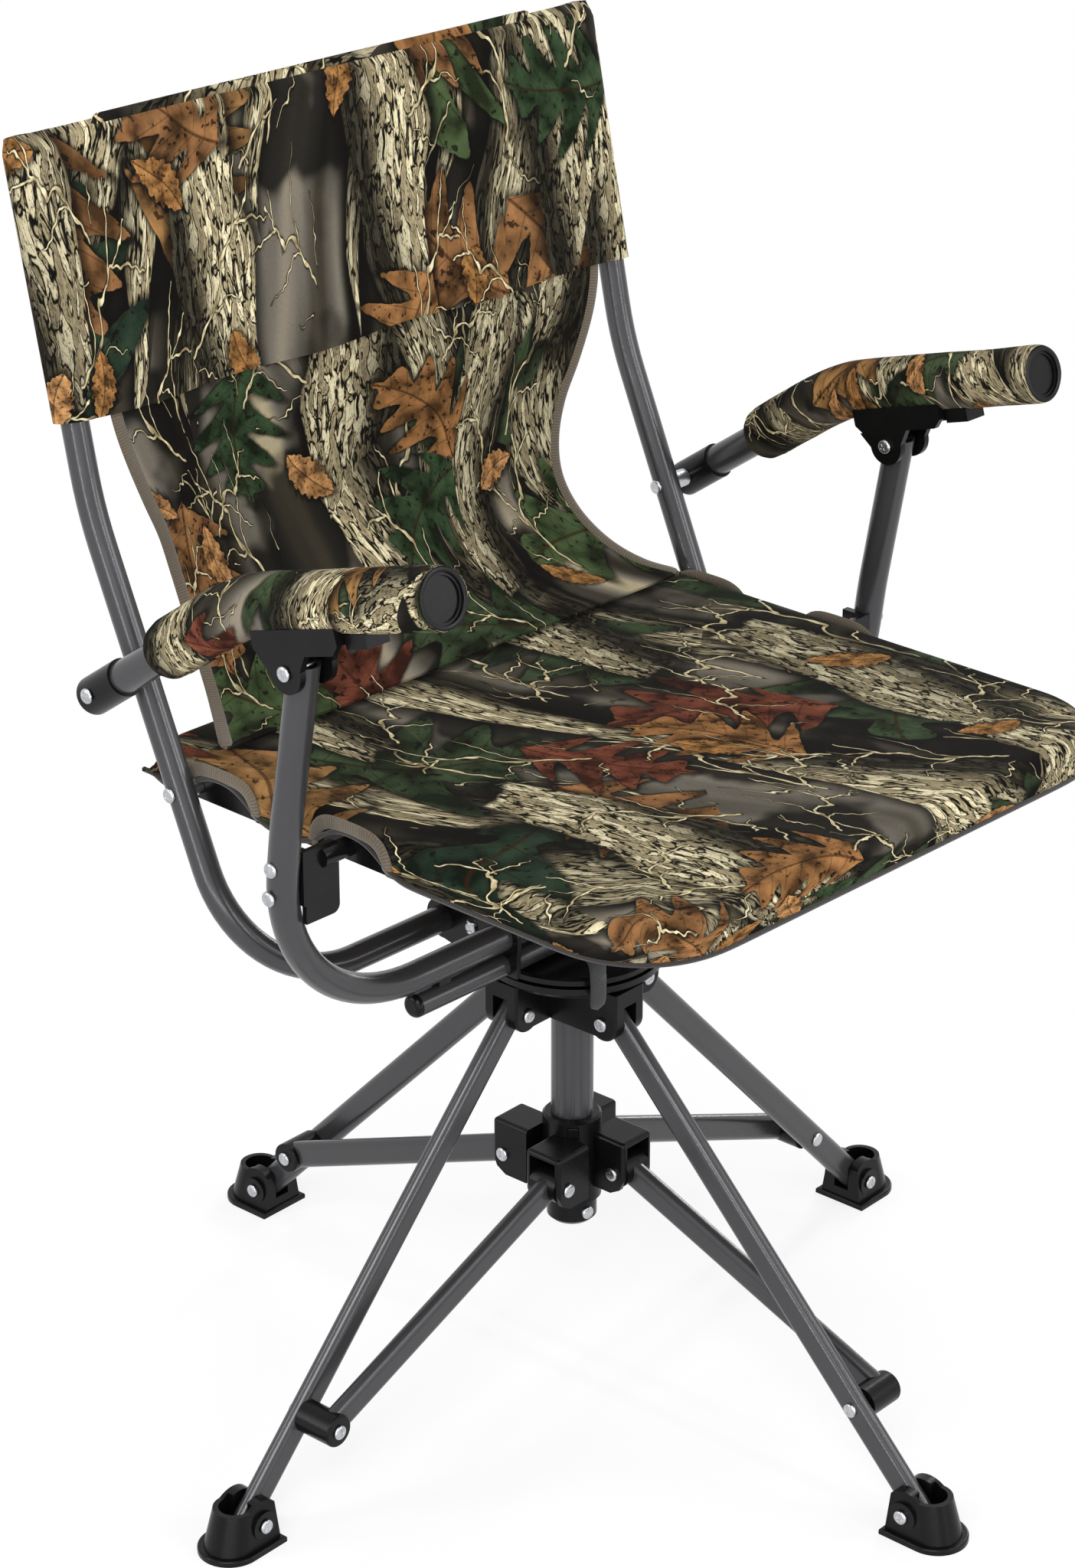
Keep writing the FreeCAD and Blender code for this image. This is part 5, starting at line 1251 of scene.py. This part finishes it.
def make_lamps():
    """Soft key, fill, rim and top lamps, and narrow strips that draw a highlight along the tubes."""
    for name, place, wide, tall, watts in LAMPS:
        deselect()
        bpy.ops.object.light_add(type="AREA", location=place)
        lamp = bpy.context.object
        lamp.name = name
        lamp.data.shape = "RECTANGLE"
        lamp.data.size = wide
        lamp.data.size_y = tall
        lamp.data.energy = watts
        lamp.rotation_euler = (LAMP_AIM - Vector(place)).to_track_quat("-Z", "Y").to_euler()


def make_camera():
    """A long lens from the front and left, a little above the arms."""
    deselect()
    bpy.ops.object.camera_add(location=CAMERA_PLACE, rotation=[math.radians(turn) for turn in CAMERA_TURN])
    camera = bpy.context.object
    camera.data.lens = sizes().lens
    camera.data.sensor_width = 36.0
    camera.data.clip_end = 60.0
    bpy.context.scene.camera = camera
    bpy.context.scene.view_settings.view_transform = "Standard"


# ------------------------------------------------------------------ add-on

class CHAIR_OT_finishes(bpy.types.Operator):
    """Paint the frame's tubes, plastics, steel and screws"""
    bl_idname = "chair.finishes"
    bl_label = "Frame finishes"

    def execute(self, context):
        make_finishes()
        return {"FINISHED"}


class CHAIR_OT_seat(bpy.types.Operator):
    """Sew the seat cover with its skirt, arches and edge cord"""
    bl_idname = "chair.seat"
    bl_label = "Seat cover"

    def execute(self, context):
        make_seat()
        return {"FINISHED"}


class CHAIR_OT_back(bpy.types.Operator):
    """Sew the back's upper sleeve panel and its waisted lower panel"""
    bl_idname = "chair.back"
    bl_label = "Back cover"

    def execute(self, context):
        make_back()
        return {"FINISHED"}


class CHAIR_OT_arm_pads(bpy.types.Operator):
    """Wrap both arms in padded cloth sleeves"""
    bl_idname = "chair.arm_pads"
    bl_label = "Arm pads"

    def execute(self, context):
        make_arm_pads()
        make_cap_lips()
        return {"FINISHED"}


class CHAIR_OT_strap(bpy.types.Operator):
    """Hang the webbing tail over the front tube"""
    bl_idname = "chair.strap"
    bl_label = "Strap"

    def execute(self, context):
        make_strap()
        return {"FINISHED"}


class CHAIR_OT_screws(bpy.types.Operator):
    """Put a cross-recess head on every screw"""
    bl_idname = "chair.screws"
    bl_label = "Screw heads"

    def execute(self, context):
        make_screws()
        return {"FINISHED"}


class CHAIR_OT_stage(bpy.types.Operator):
    """Set the floor, world, lamps and camera"""
    bl_idname = "chair.stage"
    bl_label = "Stage"

    def execute(self, context):
        make_floor()
        make_world()
        make_lamps()
        make_camera()
        return {"FINISHED"}


OPERATORS = (CHAIR_OT_finishes, CHAIR_OT_seat, CHAIR_OT_back, CHAIR_OT_arm_pads, CHAIR_OT_strap,
             CHAIR_OT_screws, CHAIR_OT_stage)


class CHAIR_PT_panel(bpy.types.Panel):
    """Lists the chair's sizes, colours and makers"""
    bl_label = "Folding Swivel Chair"
    bl_idname = "CHAIR_PT_panel"
    bl_space_type = "VIEW_3D"
    bl_region_type = "UI"
    bl_category = "Chair"

    def draw(self, context):
        for group in (context.scene.chair_sizes, context.scene.chair_colours):
            for name in group.bl_rna.properties.keys():
                if name not in ("rna_type", "name"):
                    self.layout.prop(group, name)
        for operator in OPERATORS:
            self.layout.operator(operator.bl_idname)


CLASSES = (ChairSizes, ChairColours) + OPERATORS + (CHAIR_PT_panel,)


def register():
    for item in CLASSES:
        bpy.utils.register_class(item)
    bpy.types.Scene.chair_sizes = bpy.props.PointerProperty(type=ChairSizes)
    bpy.types.Scene.chair_colours = bpy.props.PointerProperty(type=ChairColours)


def unregister():
    del bpy.types.Scene.chair_colours
    del bpy.types.Scene.chair_sizes
    for item in reversed(CLASSES):
        bpy.utils.unregister_class(item)


def main():
    register()
    bpy.ops.chair.stage()
    bpy.ops.chair.finishes()
    bpy.ops.chair.seat()
    bpy.ops.chair.back()
    bpy.ops.chair.arm_pads()
    bpy.ops.chair.strap()
    bpy.ops.chair.screws()
    deselect()


if __name__ == "__main__":
    main()
